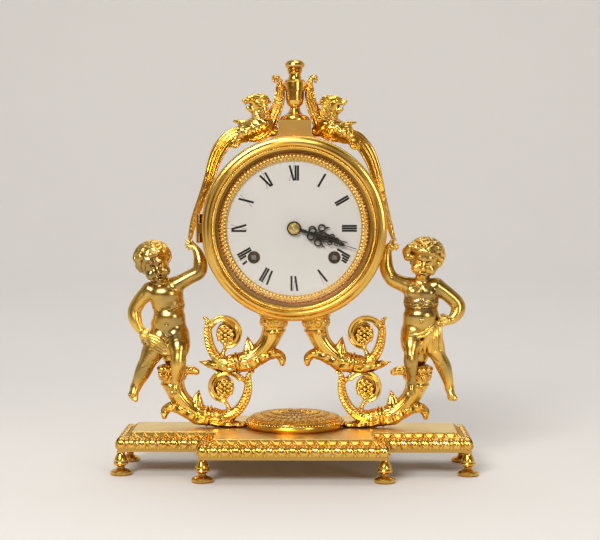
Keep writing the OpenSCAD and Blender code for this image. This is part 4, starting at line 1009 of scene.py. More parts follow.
# %% Left child: cloth and creases
def left_cloth(clay):
    for k in range(5):
        folds(clay, [[(-107.4, -10.2, 98.4 - 0.9 * k), (-101.5, -11.6 - 0.2 * k, 97.6 - 2.2 * k),
                      (-95.0, -12.6, 94.2 - 2.3 * k), (-90.6 + 0.6 * k, -12.6, 88.8 - 1.0 * k)]],
              1.35)
    folds(clay, [[(-92, -12.6, 90.0), (-90.2, -12.6, 85.2), (-89.2, -11.6, 82.0)],
                 [(-94.2, -12.0, 88.0), (-91.8, -12.0, 84.6), (-90.6, -11.2, 82.6)],
                 [(-89, -12.2, 92.8), (-87.8, -12.8, 88.2), (-88.0, -12.2, 84.0)],
                 [(-110.4, -8.8, 96.6), (-110.0, -9.2, 93.4), (-109.2, -9.0, 91.8)]], 1.1)
    press(clay, [(-102.2, -5.6, 118.4), (-96.6, -9.8, 115.6), (-90, -11.2, 115.8),
                 (-84, -9.4, 117.6), (-80.2, -5.2, 119.6)], 0.75, 1.1)
    press(clay, [(-99.4, -8.2, 119.2), (-94.2, -10.4, 117.6), (-88, -10.6, 118.2),
                 (-83, -8.4, 120)], 0.6, 0.7)
    press(clay, [(-92.6, -12.8, 106.4), (-91.6, -13.4, 106.0), (-90.8, -13.2, 106.6)], 0.8, 1.2)
    press(clay, [(-98.6, -9, 103), (-92, -12.4, 98.4), (-85, -13, 96.6), (-78.8, -8.6, 99.6)],
          0.8, 0.6)
    press(clay, [(-86.8, -14, 92.6), (-84, -16, 84.6)], 1.2, -0.3)
    for bend in ([(-71.6, -6.6, 140.6), (-70.8, -8.2, 142.6), (-71.6, -7.4, 145.6)],
                 [(-111.2, -6.6, 118.4), (-112.6, -8.2, 115.2), (-112.0, -7.4, 112.4)],
                 [(-103.6, -11.4, 80.6), (-106.2, -13, 77.6), (-109.4, -11.4, 75.6)]):
        press(clay, bend, 0.7, 0.7)


# %% [markdown]
# The hair falls in short locks, with a few large ones given one by one over the forehead and ear.

# %% Left child: head
def left_head(clay):
    clay.place((-101.2, -7.2, 149.6), turned(-17, 9, 13))
    face(clay)
    hair(clay, lambda root: (1.0 + root[2], -0.3, -0.5 * root[0]), 14, 150, 3, low=-0.22, rise=0.9)
    limb(clay, [(3.5, -7.4, 10.0), (-1.6, -9.4, 8.4), (-5.8, -8.8, 5.8), (-8.2, -6.8, 2.4),
                (-8.6, -6.6, 0.2)], [2.0, 2.6, 2.5, 2.0, 1.2], 0.5)
    limb(clay, [(-6.6, -9.6, 6.6), (-3.4, -11.0, 5.4), (-2.8, -11.2, 3.4), (-4.6, -10.8, 2.6)],
         [1.6, 1.7, 1.4, 1.0], 0.35)
    limb(clay, [(0.6, -9.0, 9.2), (4.8, -8.6, 8.0), (8.4, -6.2, 5.6), (10.2, -3.2, 2.0)],
         [1.8, 2.0, 1.8, 1.2], 0.4)
    limb(clay, [(-9.6, -3.6, 5.4), (-11.0, -2.0, 1.8), (-10.4, -1.4, -1.2)], [2.4, 2.7, 2.3], 0.8)


shape = carved((-123, -21, 49), (-62, 14, 171), (left_body, left_hands, left_cloth, left_head))
child = cast("child_left", *shape, gilt_worn, "clock", "worn_gilt")
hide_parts("putto_left")

# %% [markdown]
# ### The child on the right
# This child looks down, with one hand on the hip and the other at its strap. Its cloth crosses
# the belly and falls in long folds over the outer thigh.

# %% Right child: trunk and limbs
def right_body(clay):
    lump(clay, (91.4, -2.8, 129.2), (12.8, 8.6, 9.2), 3)
    lump(clay, (91.2, -3.0, 121.4), (12.8, 8.6, 8.4), 3)
    lump(clay, (91.2, -4.6, 111.8), (13.0, 9.8, 9.2), 3)
    lump(clay, (91.6, -3.4, 106.0), (13.4, 9.2, 7.0), 3)
    lump(clay, (91.8, -2.8, 100.8), (14.0, 9.8, 8.4), 3)
    chain(clay, [(102.2, -3.6, 133.3, 5.4), (92, -2.8, 135, 4.4), (81.4, -3.6, 133.8, 5.4)], 2.5)
    for middle in ((85.8, -8.0, 128.6), (96.4, -8.0, 128.4)):
        lump(clay, middle, (5.6, 3.9, 5.0), 1.2)
    chain(clay, [(92, -5.2, 142.4, 4.8), (91.8, -3.4, 136, 5.2)], 1.5)
    chain(clay, [(81.4, -3.8, 133.8, 5.8), (74.6, -4, 136.2, 5.5), (69.4, -4, 139.4, 5.3),
                 (66.2, -3.8, 146.4, 5.1), (66.0, -3.4, 154.0, 4.2), (66.6, -3, 159.0, 3.2)])
    chain(clay, [(102.2, -3.8, 133.2, 5.8), (110.2, -3.8, 127.4, 5.4), (117.2, -3.8, 120.4, 5.4),
                 (117.2, -5, 114.4, 5.0), (113.4, -7, 109.6, 3.6)])
    chain(clay, [(85.6, -4.4, 98, 9.4), (84.2, -9.6, 92.0, 7.8), (83.6, -13.6, 87.0, 5.2),
                 (83.4, -14.6, 79.6, 5.2), (83.7, -13.6, 70.4, 3.8), (84, -12.4, 65.0, 2.9)])
    chain(clay, [(97.6, -4, 96, 9), (100.6, -6.2, 89.4, 7.6), (103.4, -7.4, 83.4, 5.6),
                 (107.4, -6.2, 75.4, 5.5), (110.5, -4.4, 66.0, 4.1), (111.8, -4, 60.2, 3.3)])
    press(clay, [(83.2, -18.9, 84.6), (83.2, -19.6, 78), (83.5, -17.6, 70)], 0.9, -0.7)
    chain(clay, [(90, 2, 93, 8), (89.4, 1.6, 82, 7.6)], 1.5)
    foot(clay, (84.0, -12.2, 63.8), (83.8, -13.9, 59.0), (0.96, -0.1, 0.0), 1.2)
    foot(clay, (112.0, -4.2, 58.8), (113.2, -6.4, 54.4), (-0.9, -0.1, -0.3), 1.25)


# %% [markdown]
# The hand on the hip is a little larger and closes over the upper edge of the cloth.

# %% Right child: hands
def right_hands(clay):
    lump(clay, (69.0, -2.6, 161.6), (3.6, 2.8, 3.3), 0.9)
    fingers(clay, [[(69.6, -1.6, 163.4), (71.4, -1.2, 165.6), (72.8, -1, 166.4)],
                   [(70.2, -2.4, 162.4), (73.2, -2.6, 163.4), (74.8, -2.6, 162.8)],
                   [(70.2, -3.6, 161.2), (73.0, -4.0, 161.8), (74.4, -3.8, 161.0)],
                   [(69.6, -4.4, 160.2), (72.0, -4.9, 160.4), (73.2, -4.6, 159.6)],
                   [(68.0, -4.2, 163.0), (69.2, -4.4, 165.6), (70.8, -3.2, 166.8)]])
    lump(clay, (109.8, -8.4, 108.8), (4.5, 3.4, 3.5), 0.8)
    fingers(clay, [[(108.8, -10.4, 110.8), (105.8, -11.2, 111.4), (104.2, -10.2, 111.0)],
                   [(108.4, -11.0, 109.4), (105.2, -12.0, 109.6), (103.6, -11.0, 109.2)],
                   [(108.6, -11.0, 107.8), (105.6, -12.0, 107.6), (104.2, -11.0, 107.2)],
                   [(109.4, -10.2, 106.4), (106.8, -11.2, 105.8), (105.6, -10.4, 105.4)],
                   [(110.2, -8.2, 111.2), (107.2, -9.2, 113.0), (105.2, -9.6, 113.2)]], 1.1)


# %% [markdown]
# Two folds cross the belly. Six broad ones fall from the hip, with five dents between them that
# keep them apart.

# %% Right child: cloth
def right_cloth(clay):
    folds(clay, [[(79.6, -8.2, 101.8), (85, -13, 99.4), (92, -14.2, 100.4), (99, -12.6, 104.6),
                  (105, -8.6, 109.4)],
                 [(80.4, -9.4, 99.8), (86, -13.2, 97.4), (93, -14.0, 98.2), (100, -12.0, 103),
                  (105.6, -8.0, 107.4)]], 1.2)
    for k in range(6):
        folds(clay, [[(104.8 - 1.6 * k, -8.8 - 0.9 * k, 108.6 - 1.6 * k),
                      (104.6 - 2.3 * k, -11.0 - 0.5 * k, 102 - 1.5 * k),
                      (105.2 - 2.9 * k, -12.0 - 0.2 * k, 95 - 1.2 * k),
                      (106.0 - 3.2 * k, -11.2, 88.4 - 0.5 * k)]], 1.6)
    for k in range(5):
        press(clay, [(104.0 - 1.6 * k, -11.2 - 0.9 * k, 105 - 1.5 * k),
                     (103.5 - 2.4 * k, -13.2 - 0.4 * k, 99 - 1.5 * k),
                     (103.9 - 3.0 * k, -13.8, 92.6 - 1.0 * k),
                     (104.4 - 3.2 * k, -13.2, 88 - 0.5 * k)], 0.65, 1.3)


# %% [markdown]
# The creases of the chest and belly follow, the navel in its ring, and the bends of the joints.

# %% Right child: creases
def right_creases(clay):
    press(clay, [(79.2, -5.8, 119.6), (84, -10, 118.4), (91, -11.8, 118.2), (98, -10, 118.6),
                 (103.2, -5.8, 120)], 0.8, 1.3)
    press(clay, [(79.6, -6.2, 122.4), (84.4, -9.6, 121.2), (91, -11, 120.8), (97.6, -9.6, 121.2),
                 (102.6, -6.2, 122.6)], 0.6, 0.9)
    press(clay, [(91.1, -11.2, 134), (91.1, -11.2, 126), (91.2, -10.6, 121.6)], 0.9, 1.0)
    press(clay, [(81, -9, 125.4), (85.4, -11.2, 123.6), (90.4, -11.2, 125.2)], 0.7, 0.7)
    press(clay, [(92, -11.2, 125.2), (97, -11.2, 123.4), (101.4, -9, 125.2)], 0.7, 0.7)
    ring = [(90.9 + 1.7 * math.cos(a), -14.4, 107.8 + 1.9 * math.sin(a))
            for a in (math.pi * k / 6 for k in range(13))]
    press(clay, ring, 0.5, -0.6)
    lump(clay, (90.9, -14.2, 107.8), (0.8, 0.7, 0.8), 0.3)
    for bend in ([(70.4, -7.0, 136.4), (69.4, -8.4, 140.0), (70.6, -7.2, 143.4)],
                 [(114.2, -7.2, 122.8), (114.8, -8.6, 119.0), (113.4, -7.4, 116.6)],
                 [(100.6, -11.4, 81), (103.8, -13, 78.4), (107.0, -11.2, 77.8)]):
        press(clay, bend, 0.7, 0.7)


# %% [markdown]
# The curls end in one large roll at one side, with a band over the forehead and a row of lumps
# down the other side.

# %% Right child: head
def right_head(clay):
    clay.place((93.8, -7.4, 153.2), turned(7, 10, -6))
    face(clay)
    hair(clay, lambda root: (root[0], -0.4, -0.6), 42, 210, 11, rise=-0.2)
    limb(clay, [(-7.4, -6.0, 9.4), (-11.2, -4.4, 7.8), (-13.4, -3.0, 4.2), (-12.4, -4.4, 0.8),
                (-9.6, -6.4, 1.4)], [2.4, 3.3, 3.6, 3.1, 2.2], 0.6)
    limb(clay, [(-8.6, -7.8, 7.2), (-3.6, -9.8, 7.4), (1.6, -10.0, 7.2), (6.4, -8.4, 6.0),
                (10.0, -5.2, 3.0)], [1.7, 1.9, 1.9, 1.9, 1.6], 0.5)
    for k in range(6):
        angle = math.radians(-50 + 22 * k)
        x, z = 11.0 * math.cos(angle) + 0.6, 3 + 10.6 * math.sin(angle)
        lump(clay, (x, -3.2 + 0.9 * (k % 2), z), (2.5, 2.5, 2.4), 0.4)


shape = carved((61, -21, 48), (127, 14, 173),
               (right_body, right_hands, right_cloth, right_creases, right_head))
child = cast("child_right", *shape, gilt_worn, "clock", "worn_gilt")
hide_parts("putto_right")

# %% [markdown]
# ## Winged creatures
# Each crest is one casting: a lion's head with open jaws, a body covered in scrolls and scales,
# a ribbed wing against the urn, and a strap that runs down past the bezel to the child's hand.
# Ornament has to lie on a surface, so a tracer looks up where the clay's face is in front.

# %% Tracing on a surface
def on_face(clay, x, z, side):
    """The Y of the clay's front (or back) face over x, z, or None beside the form."""
    i, k = (int(round((v - a) / clay.step)) for v, a in ((x, clay.low[0]), (z, clay.low[2])))
    column = np.flatnonzero(clay.field[i, :, k] < 0)
    if len(column) == 0:
        return None
    return clay.low[1] + clay.step * (column[0] if side < 0 else column[-1])


def trace(clay, points, width, depth):
    """Presses or raises a line of x, z points on the front and on the back of the form."""
    for side in (-1, 1):
        lying = [(x, on_face(clay, x, z, side), z) for x, z in points]
        lying = [p for p in lying if p[1] is not None]
        if len(lying) > 1:
            press(clay, lying, width, depth)


def spiral(x, z, radius, turns, start, hand):
    """Points of a flat spiral that tightens towards its middle, hand 1 or -1 its way round."""
    steps, points = 14, []
    for k in range(steps + 1):
        angle = start + hand * 2 * math.pi * turns * k / steps
        reach = radius * (1 - 0.85 * k / steps)
        points.append((x + reach * math.cos(angle), z + reach * math.sin(angle)))
    return points


# %% [markdown]
# The wing has lengthwise feathers and a thick rim, and its tip rolls outwards. The strap has a
# bright rounded rim on its outer side, a groove, and a hollow inner side.

# %% Crest sections
def feathered(u, s, side, front, wide, thick):
    distance, _ = oval(side, front, wide, thick)
    ribs = np.cos(2 * np.pi * side / (wide / 2.1))
    return distance - 0.5 * ribs * np.clip(wide / 2.4, 0.2, 1)


def strap_section(u, s, side, front, wide, thick):
    rounding = np.minimum(1.3, wide * 0.7)
    across = side / wide
    outer_line = 0.55 * np.exp(-((across + 0.5) / 0.09) ** 2)
    inner_line = 0.7 * np.exp(-((across + 0.05) / 0.1) ** 2)
    hollow = 1.7 * np.clip((across - 0.2) / 0.15, 0, 1) * np.clip((0.95 - across) / 0.1, 0, 1)
    relief = (outer_line + inner_line + hollow) * np.clip(wide / 4.5, 0.1, 1)
    return rounded(np.abs(side) - (wide - rounding), np.abs(front) - (thick - rounding) + relief,
                   rounding)


# %% [markdown]
# ### One creature
# The head is built of skull, brow, muzzle and jaw with a real gap for the mouth. The neck's mane
# is a row of locks. Scrolls, scales and a back leaf cover the body, which ends in a small volute.

# %% Carve the head and body
def creature_body(clay, lift):
    clay.place((0, 0, lift))
    limb(clay, [(-21.5, 0, 249.4), (-29, 0, 246.6), (-36, 0, 243.8), (-42.2, -1, 239.8)],
         [7.4, 8.2, 7.2, 4.6], 1.5)
    limb(clay, [(-22, -1, 250), (-25, -2, 256), (-26, -2.6, 261)], [6.6, 6.2, 5.8], 1.5)
    lump(clay, (-25.8, -3.0, 264.0), (6.6, 6.0, 6.2), 1)
    limb(clay, [(-27.6, -4.2, 265.4), (-31.4, -5.6, 266.4), (-34.6, -6.6, 266.0)],
         [4.6, 3.6, 2.6], 0.9)
    lump(clay, (-36.2, -7.2, 266.6), (1.7, 2.2, 1.5), 0.4)
    limb(clay, [(-26.8, -3.8, 260.6), (-30.4, -5.4, 260.2), (-33.2, -6.4, 261.4)],
         [3.8, 2.8, 1.9], 0.8)
    lump(clay, (-34.0, -7.0, 263.5), (3.6, 4.2, 0.8), 0.35, taken=True)
    for y in (-9.4, -4.8):
        limb(clay, [(-35.0, y, 264.8), (-35.2, y, 263.2)], [0.7, 0.35], 0.2)
    for side in (-1, 1):
        y = -3.6 + side * 4.8
        limb(clay, [(-25.8, y + side * 0.4, 269.0), (-29.6, y - 0.6, 269.4),
                    (-33.2, y - 1.2, 268.4)], [1.5, 1.7, 1.0], 0.4)
        lump(clay, (-30.2, y - 1.4, 267.0), (1.7, 1.3, 1.0), 0.3, taken=True)
        lump(clay, (-30.2, y - 0.9, 267.0), (1.1, 0.9, 0.8), 0.2)
        press(clay, [(-33.0, y - 1.6, 265.4), (-30.6, y - 1.8, 264.0), (-28.4, y - 1.4, 264.4)],
              0.6, 0.8)
        limb(clay, [(-24.0, y, 268.4), (-21.6, y + side * 0.8, 270.6)], [1.9, 0.8], 0.4)
        for k in range(5):
            limb(clay, [(-24.8 + 0.5 * k, y * 0.95, 267 - 2.7 * k),
                        (-21.6 + 0.3 * k, y * 1.12, 265.4 - 2.7 * k),
                        (-19.4 + 0.2 * k, y * 0.9, 261.8 - 2.4 * k)], [1.6, 1.5, 0.8], 0.3)
    for k in range(5):
        limb(clay, [(-25.4 + 1.2 * k, -2.6, 270.4 - 0.5 * k * k / 2),
                    (-22.6 + 1.2 * k, -1.8, 270.4 - 0.6 * k * k / 2)], [1.6, 1.1], 0.4)
    swept(clay, [(-32, 248.6, 3.6, 4.2), (-37, 250.4, 3.0, 3.6), (-41, 251.6, 1.7, 2.4),
                 (-44.2, 252.0, 0.6, 0.9)], fan_leaf, 0.6)
    disc(clay, (-43.0, 0, 236.4), (0, 1, 0), 3.9, 5.4)
    clay.place()


# %% [markdown]
# The scrolls and scales are raised or pressed by the tracer, and the wing is swept over them.

# %% Carve the ornament and the wing
WING = [(-33, 239.6, 2.4, 4.6), (-27, 240.2, 3.2, 5.2), (-21.6, 243.6, 3.9, 5.2),
        (-17.8, 249, 4.3, 4.8), (-15.6, 255.4, 4.4, 4.2), (-12.9, 261.6, 4.2, 3.8),
        (-11.0, 268, 3.8, 3.4), (-10.6, 273.6, 3.3, 3.0), (-10.9, 278.6, 2.7, 2.6),
        (-12.2, 282.4, 2.1, 2.4), (-14.2, 283.6, 1.6, 2.1), (-15.4, 281.8, 1.3, 1.8),
        (-14.8, 280.0, 0.9, 1.4)]


def creature_ornament(clay, lift):
    for x, z, radius, start, hand in ((-22.0, 251.0, 3.6, 0.6, 1), (-26.6, 245.6, 3.6, 3.4, -1),
                                      (-31.2, 249.6, 3.2, 0.4, 1), (-34.6, 243.6, 3.4, 3.2, -1),
                                      (-39.2, 246.4, 2.6, 0.8, 1)):
        trace(clay, spiral(x, z + lift, radius, 1.1, start, hand), 0.75, -1.35)
        trace(clay, [(x, z + lift), (x + 0.1, z + lift)], 0.8, -0.9)
    for k in range(9):
        x, z = -20.6 - 2.6 * k, 242.6 - 0.8 * k + lift
        trace(clay, [(x, z), (x - 0.9, z - 1.8), (x - 2.3, z - 1.3)], 0.55, 1.0)
    for k in range(5):
        x, z = -22.6 - 0.7 * k, 255.0 + 1.6 * k + lift
        trace(clay, [(x - 3.6, z - 0.8), (x - 0.4, z - 1.8), (x + 2.4, z - 0.2)], 0.5, 0.8)
    trace(clay, spiral(-43.0, 236.4 + lift, 3.1, 1.4, 1.6, -1), 0.5, -1.0)
    swept(clay, WING, feathered, 0.7)
    limb(clay, [(-18.4, 0, 243.8), (-13, 0, 244.5)], [3.4, 3.0], 1.2)


# %% [markdown]
# ### Straps
# Both straps leave the creature wide and end in three leaf buds above the hand. The left one
# reaches a little further out than the right one, as in the picture. The pedestal, the drum and
# the hands are cut out of the castings, so that nothing runs through its neighbour.

# %% Set the crests
BLOCK_SIDE, BLOCK_TOP = 12.2, 253.2
STRAP_END = 167.0


def crest(lift, strap):
    clay = Clay((-84, -13, 164), (-7, 12, 288))
    end_x = strap[-1][0]
    creature_body(clay, lift)
    creature_ornament(clay, lift)
    swept(clay, strap, strap_section, 1.0)
    for z, x, swing in ((179.5, 0.9, -1.6), (175.5, -0.6, 1.4), (171.6, 0.2, -0.9)):
        along = end_x + (z - STRAP_END) * (strap[-2][0] - end_x) / (strap[-2][1] - STRAP_END)
        limb(clay, [(along - 0.2 * swing, 0, z + 3.4), (along + x, -1.2, z),
                    (along + x + swing, -1.0, z - 3.0)], [1.2, 1.7, 0.5], 0.35)
    part, (x, y, z) = whole(clay)
    drum = np.hypot(x, z - DIAL_Z) - DRUM_RADIUS - 0.15
    clay.cut(part, drum, 0.1)
    clay.cut(part, box_distance((x, y, z), (end_x - 9, -12, 150), (end_x + 9, 12, STRAP_END)), 0.1)
    block = box_distance((x, y, z), (-BLOCK_SIDE, -30, 228), (BLOCK_SIDE, 30, BLOCK_TOP))
    clay.cut(part, block, 0.1)
    return skin(clay)


LEFT_STRAP = [(-36, 244.2, 4.2, 5), (-41, 243.2, 4.8, 5.6), (-46.5, 240.3, 5.2, 6),
              (-53.2, 233, 5.2, 6), (-58, 223, 4.5, 5.8), (-61.6, 211, 3.8, 5.4),
              (-67.2, 196, 3.0, 4.6), (-72.8, 181, 2.4, 3.4), (-76.2, 166, 1.5, 2.4)]
RIGHT_STRAP = [(-36, 243.2, 4.2, 5), (-41, 241.6, 4.8, 5.6), (-46, 238, 5.2, 6),
               (-52.2, 230, 5.2, 6), (-56.8, 219.5, 4.5, 5.8), (-60, 208, 3.8, 5.4),
               (-63.4, 195, 3.0, 4.6), (-67.2, 181, 2.4, 3.4), (-71.6, 166, 1.5, 2.4)]
left_crest = cast("crest_left_carved", *crest(0, LEFT_STRAP), gilt, "clock", "gilt_brass")
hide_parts("crest_left")
right_crest = cast("crest_right_carved", *crest(-1, RIGHT_STRAP), gilt, "clock", "gilt_brass",
                   True)
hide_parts("crest_right")

# %% [markdown]
# ## Dial
# The enamel is fired white and the figures are painted on it. A picture could be printed on the
# dial, but drawn strokes stay sharp at any distance. Each figure is a few thick or thin strokes
# with hairline serifs, laid as thin ink just in front of the enamel, with its top to the outside.

# %% Numerals and minutes
DIAL_FACE = -30.3
INK_AT, INK_THICK = DIAL_FACE - 0.03, 0.02
INNER, OUTER = 33.7, 44.2
STROKES = {"I": [((0, 0), (0, 1), 1.5)],
           "V": [((-1.45, 1), (0.1, 0), 1.5), ((1.45, 1), (0.1, 0), 0.24)],
           "X": [((-1.5, 1), (1.5, 0), 1.5), ((1.5, 1), (-1.5, 0), 0.24)]}
SERIFS = {"I": [(0, 1), (0, 0)], "V": [(-1.45, 1), (1.45, 1)],
          "X": [(-1.5, 1), (1.5, 1), (-1.5, 0), (1.5, 0)]}
SERIF_HALF, SERIF_THICK = 0.75, 0.14
HALF = {"I": 0.85, "V": 1.85, "X": 1.9}
NUMERALS = "XII I II III IIII V VI VII VIII IX X XI".split()
WINDING_HOLES, HOLE_ROOM = ((28.4, -20.5), (-28.4, -20.5)), 5.4
MINUTE_START, MINUTE_END, FIVE_END = 45.1, 46.5, 46.9


def bar_outline(bar, overlap=0.0):
    """The corners of a flat bar of two ends and a width, made longer by an overlap."""
    (x0, z0), (x1, z1), width = bar
    run = math.hypot(x1 - x0, z1 - z0)
    sx, sz = -(z1 - z0) / run * width / 2, (x1 - x0) / run * width / 2
    ex, ez = (x1 - x0) / run * overlap, (z1 - z0) / run * overlap
    return [(x0 + sx - ex, z0 + sz - ez), (x1 + sx + ex, z1 + sz + ez),
            (x1 - sx + ex, z1 - sz + ez), (x0 - sx - ex, z0 - sz - ez)]


def slab(build, outline, near, far, turn=0.0):
    """A block of four corners of the dial's plane between two depths, turned clockwise."""
    c, s = math.cos(turn), math.sin(turn)
    front, back = ([build.verts.new(((x * c + z * s) * MM, y * MM, (DIAL_Z - x * s + z * c) * MM))
                    for x, z in outline] for y in (near, far))
    build.faces.new(front)
    build.faces.new(back[::-1])
    for k in range(4):
        after = (k + 1) % 4
        build.faces.new((front[k], back[k], back[after], front[after]))


def ink_object(name, bars, material):
    """Flat bars in the dial's plane, as very thin solids."""
    build = bmesh.new()
    for bar in bars:
        slab(build, bar_outline(bar), INK_AT, INK_AT + INK_THICK)
    bmesh.ops.recalc_face_normals(build, faces=build.faces)
    mesh = mesh_of(name, build)
    mesh.materials.append(material)
    return linked(name, mesh)


def polar(angle, radius, side=0.0):
    """A point of the dial, clockwise from twelve, moved sideways along the turn."""
    a = math.radians(angle)
    return (radius * math.sin(a) + side * math.cos(a), radius * math.cos(a) - side * math.sin(a))


def clear_of_grommets(inner, outer):
    """A stroke that stops short of the metal rings of the winding holes."""
    for x, z in WINDING_HOLES:
        if math.hypot(outer[0] - x, outer[1] - z) < HOLE_ROOM:
            return None
        for _ in range(40):
            if math.hypot(inner[0] - x, inner[1] - z) >= HOLE_ROOM:
                break
            inner = tuple(a + 0.03 * (b - a) for a, b in zip(inner, outer))
    return inner, outer


# %% [markdown]
# A numeral is set letter by letter round its hour. The winding holes take the inner serifs of
# IIII and VIII. The minute track is a ring of short marks outside the figures.

# %% Write the dial
bars = []
for hour, numeral in enumerate(NUMERALS):
    width = sum(2 * HALF[letter] for letter in numeral)
    across = -width / 2
    for letter in numeral:
        across += HALF[letter]
        for (x0, h0), (x1, h1), thick in STROKES[letter]:
            kept = clear_of_grommets(*(polar(30 * hour, INNER + h * (OUTER - INNER), across + x)
                                       for h, x in sorted([(h0, x0), (h1, x1)])))
            if kept:
                bars.append((*kept, thick))
        for x, h in SERIFS[letter]:
            radius = INNER + h * (OUTER - INNER)
            ends = (polar(30 * hour, radius, across + x + end) for end in (-SERIF_HALF, SERIF_HALF))
            if h == 1 or numeral not in ("IIII", "VIII"):
                bars.append((*ends, SERIF_THICK))
        across += HALF[letter]
ink = finish("ink_black", (0.008, 0.007, 0.008), (0.012, 0.011, 0.012), 0.9, metal=0.0, bump=0)
faded_ink = finish("minute_ink", (0.30, 0.29, 0.28), (0.36, 0.35, 0.34), 0.5, metal=0.0, bump=0)
minutes = [(polar(6 * k, MINUTE_START), polar(6 * k, MINUTE_END if k % 5 else FIVE_END),
            0.16 if k % 5 else 0.3) for k in range(60)]
for piece in (ink_object("hour_figures", bars, ink),
              ink_object("minute_marks", minutes, faded_ink)):
    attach(piece, "clock")
print("figures:", len(NUMERALS), "strokes:", len(bars), "minute marks:", len(minutes))

# %% [markdown]
# ## Turned rings with a pattern
# The bezel has a fine milled ring, a row of knurls at its edge and a bright bead, and the sight
# ring is cast with leaves. A lathe profile is spun round the dial's axis, and a pattern of the
# angle pushes its points out, as a milling wheel or a chaser's punch does.

# %% Patterned rings
def net_faces(number, after):
    """Four-sided faces between rows of corner numbers and the rows after them."""
    return np.stack([number[:, :-1], after[:, :-1], after[:, 1:], number[:, 1:]], -1).reshape(-1, 4)


def patterned_ring(name, profile, around, relief, surface, body, slot):
    """Spins points of radius and Y about the dial, each moved outwards by relief(turn, t)."""
    profile = np.array(profile, float)
    along = np.gradient(profile, axis=0)
    normal = np.column_stack([along[:, 1], -along[:, 0]])
    normal /= np.linalg.norm(normal, axis=1)[:, None] + 1e-9
    turn = np.linspace(0, 2 * np.pi, around, endpoint=False)[:, None]
    lift = relief(turn, np.arange(len(profile))[None, :] / (len(profile) - 1))
    radius = profile[:, 0] + lift * normal[:, 0]
    deep = profile[:, 1] + lift * normal[:, 1]
    corners = np.stack([radius * np.sin(turn), deep, DIAL_Z + radius * np.cos(turn)], -1)
    number = np.arange(around * len(profile)).reshape(around, -1)
    faces = net_faces(number, np.roll(number, -1, 0))
    return cast(name, corners.reshape(-1, 3) * MM, faces, surface, body, slot)


def arc_profile(r0, y0, r1, y1, rise, steps=6):
    """A low arch from one radius and depth to another, bulging towards the viewer."""
    t = np.linspace(0, 1, steps + 1)
    bulge = rise * np.sin(np.pi * t)
    run = math.hypot(r1 - r0, y1 - y0)
    return np.column_stack([r0 + (r1 - r0) * t + bulge * (y1 - y0) / run,
                            y0 + (y1 - y0) * t - bulge * (r1 - r0) / run])


def beaded(count, height):
    """Knurls across the ring, highest along its middle."""
    return lambda turn, t: (height * (np.abs(np.sin(count * turn / 2)) ** 0.7 - 0.5)
                            * np.sin(np.pi * t))


def plain(turn, t):
    """No relief at all."""
    return 0 * turn * t


def leafy(count):
    """Two rows of small round leaves with a rib, and a row of beads along the outer edge."""
    def relief(turn, t):
        lift = np.zeros(np.broadcast(turn, t).shape)
        for row, (low, high, shift) in enumerate(((0.0, 0.42, 0.0), (0.30, 0.72, 0.5))):
            cell = (count * turn / (2 * np.pi) + shift) % 1 - 0.5
            s = np.clip((t - low) / (high - low), 0, 1)
            dome = np.sqrt(np.clip(1 - (cell / 0.47) ** 2 - ((s - 0.5) / 0.5) ** 2, 0, 1))
            lift = np.maximum(lift, 0.95 * dome - 0.3 * dome * np.exp(-(cell / 0.08) ** 2))
        cell = (count * turn / (2 * np.pi)) % 1 - 0.5
        bead = np.sqrt(np.clip(1 - (cell / 0.44) ** 2 - ((t - 0.86) / 0.15) ** 2, 0, 1))
        return np.maximum(lift, bead)
    return relief


# %% [markdown]
# The radii are the bezel's own: a milled ring on its outer slope, a fine one on the inner
# moulding, and the leaf ring that slants from the dial's edge out to the glass.

# %% Milling, beads and leaves
BEZEL_BACK, BEZEL_RADIUS = -31.3, 65.4
MILL_AROUND, LEAF_AROUND = ((1680, 1560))
LEAF_COUNT, LEAF_STEPS = 120, 15


def on_bezel(name, inner, outer, rise, pattern, around=MILL_AROUND):
    """A patterned ring between two points given as inset from the bezel's edge and height."""
    (r0, y0), (r1, y1) = ((BEZEL_RADIUS - inset, BEZEL_BACK - height)
                          for inset, height in (inner, outer))
    patterned_ring(name, arc_profile(r0, y0, r1, y1, rise), around, pattern, gilt, "bezel_door",
                   "gilt_brass")


on_bezel("bezel_outer_milling", (1.9, 4.65), (0.5, 3.2), 0.22, beaded(280, 0.34))
on_bezel("bezel_inner_milling", (9.3, 6.25), (7.5, 6.35), 0.5, beaded(240, 0.36))
on_bezel("bezel_bead", (10.1, 4.9), (9.2, 6.15), 0.35, plain, 192)
patterned_ring("sight_leaves", arc_profile(47.6, -31.15, 53.0, -33.2, 0.35, LEAF_STEPS),
               LEAF_AROUND, leafy(LEAF_COUNT), sight_brass, "clock", "sight_brass")

# %% [markdown]
# ## Hands
# The pierced hands were sawn from sheet steel and blacked. Their scrolls are strokes of even
# width, so each hand is drawn as curves in its own plane, then given the sheet's thickness.
# Bars that overlap lie a hair apart in three layers, so that no two faces share a plane. The
# hands keep the axes, reach and angles of the solids and turn with the same bodies.

# %% Draw the hands
SHEET, BAR_OVERLAP, LAYER = 0.5, 0.12, 0.02
HUB_STEPS = 48


def scroll(side, x, z, radius, start, sweep, width, steps=22, shrink=0.0):
    """A curl round (x, z), as bars; side -1 mirrors it across the hand."""
    points = []
    for k in range(steps + 1):
        a = math.radians(start + sweep * k / steps)
        r = radius * (1 - shrink * k / steps)
        points.append((side * (x + r * math.cos(a)), z + r * math.sin(a)))
    return [(p, q, width) for p, q in zip(points, points[1:])]


def tapered(points, widths):
    return [(p, q, w) for p, q, w in zip(points, points[1:], widths)]


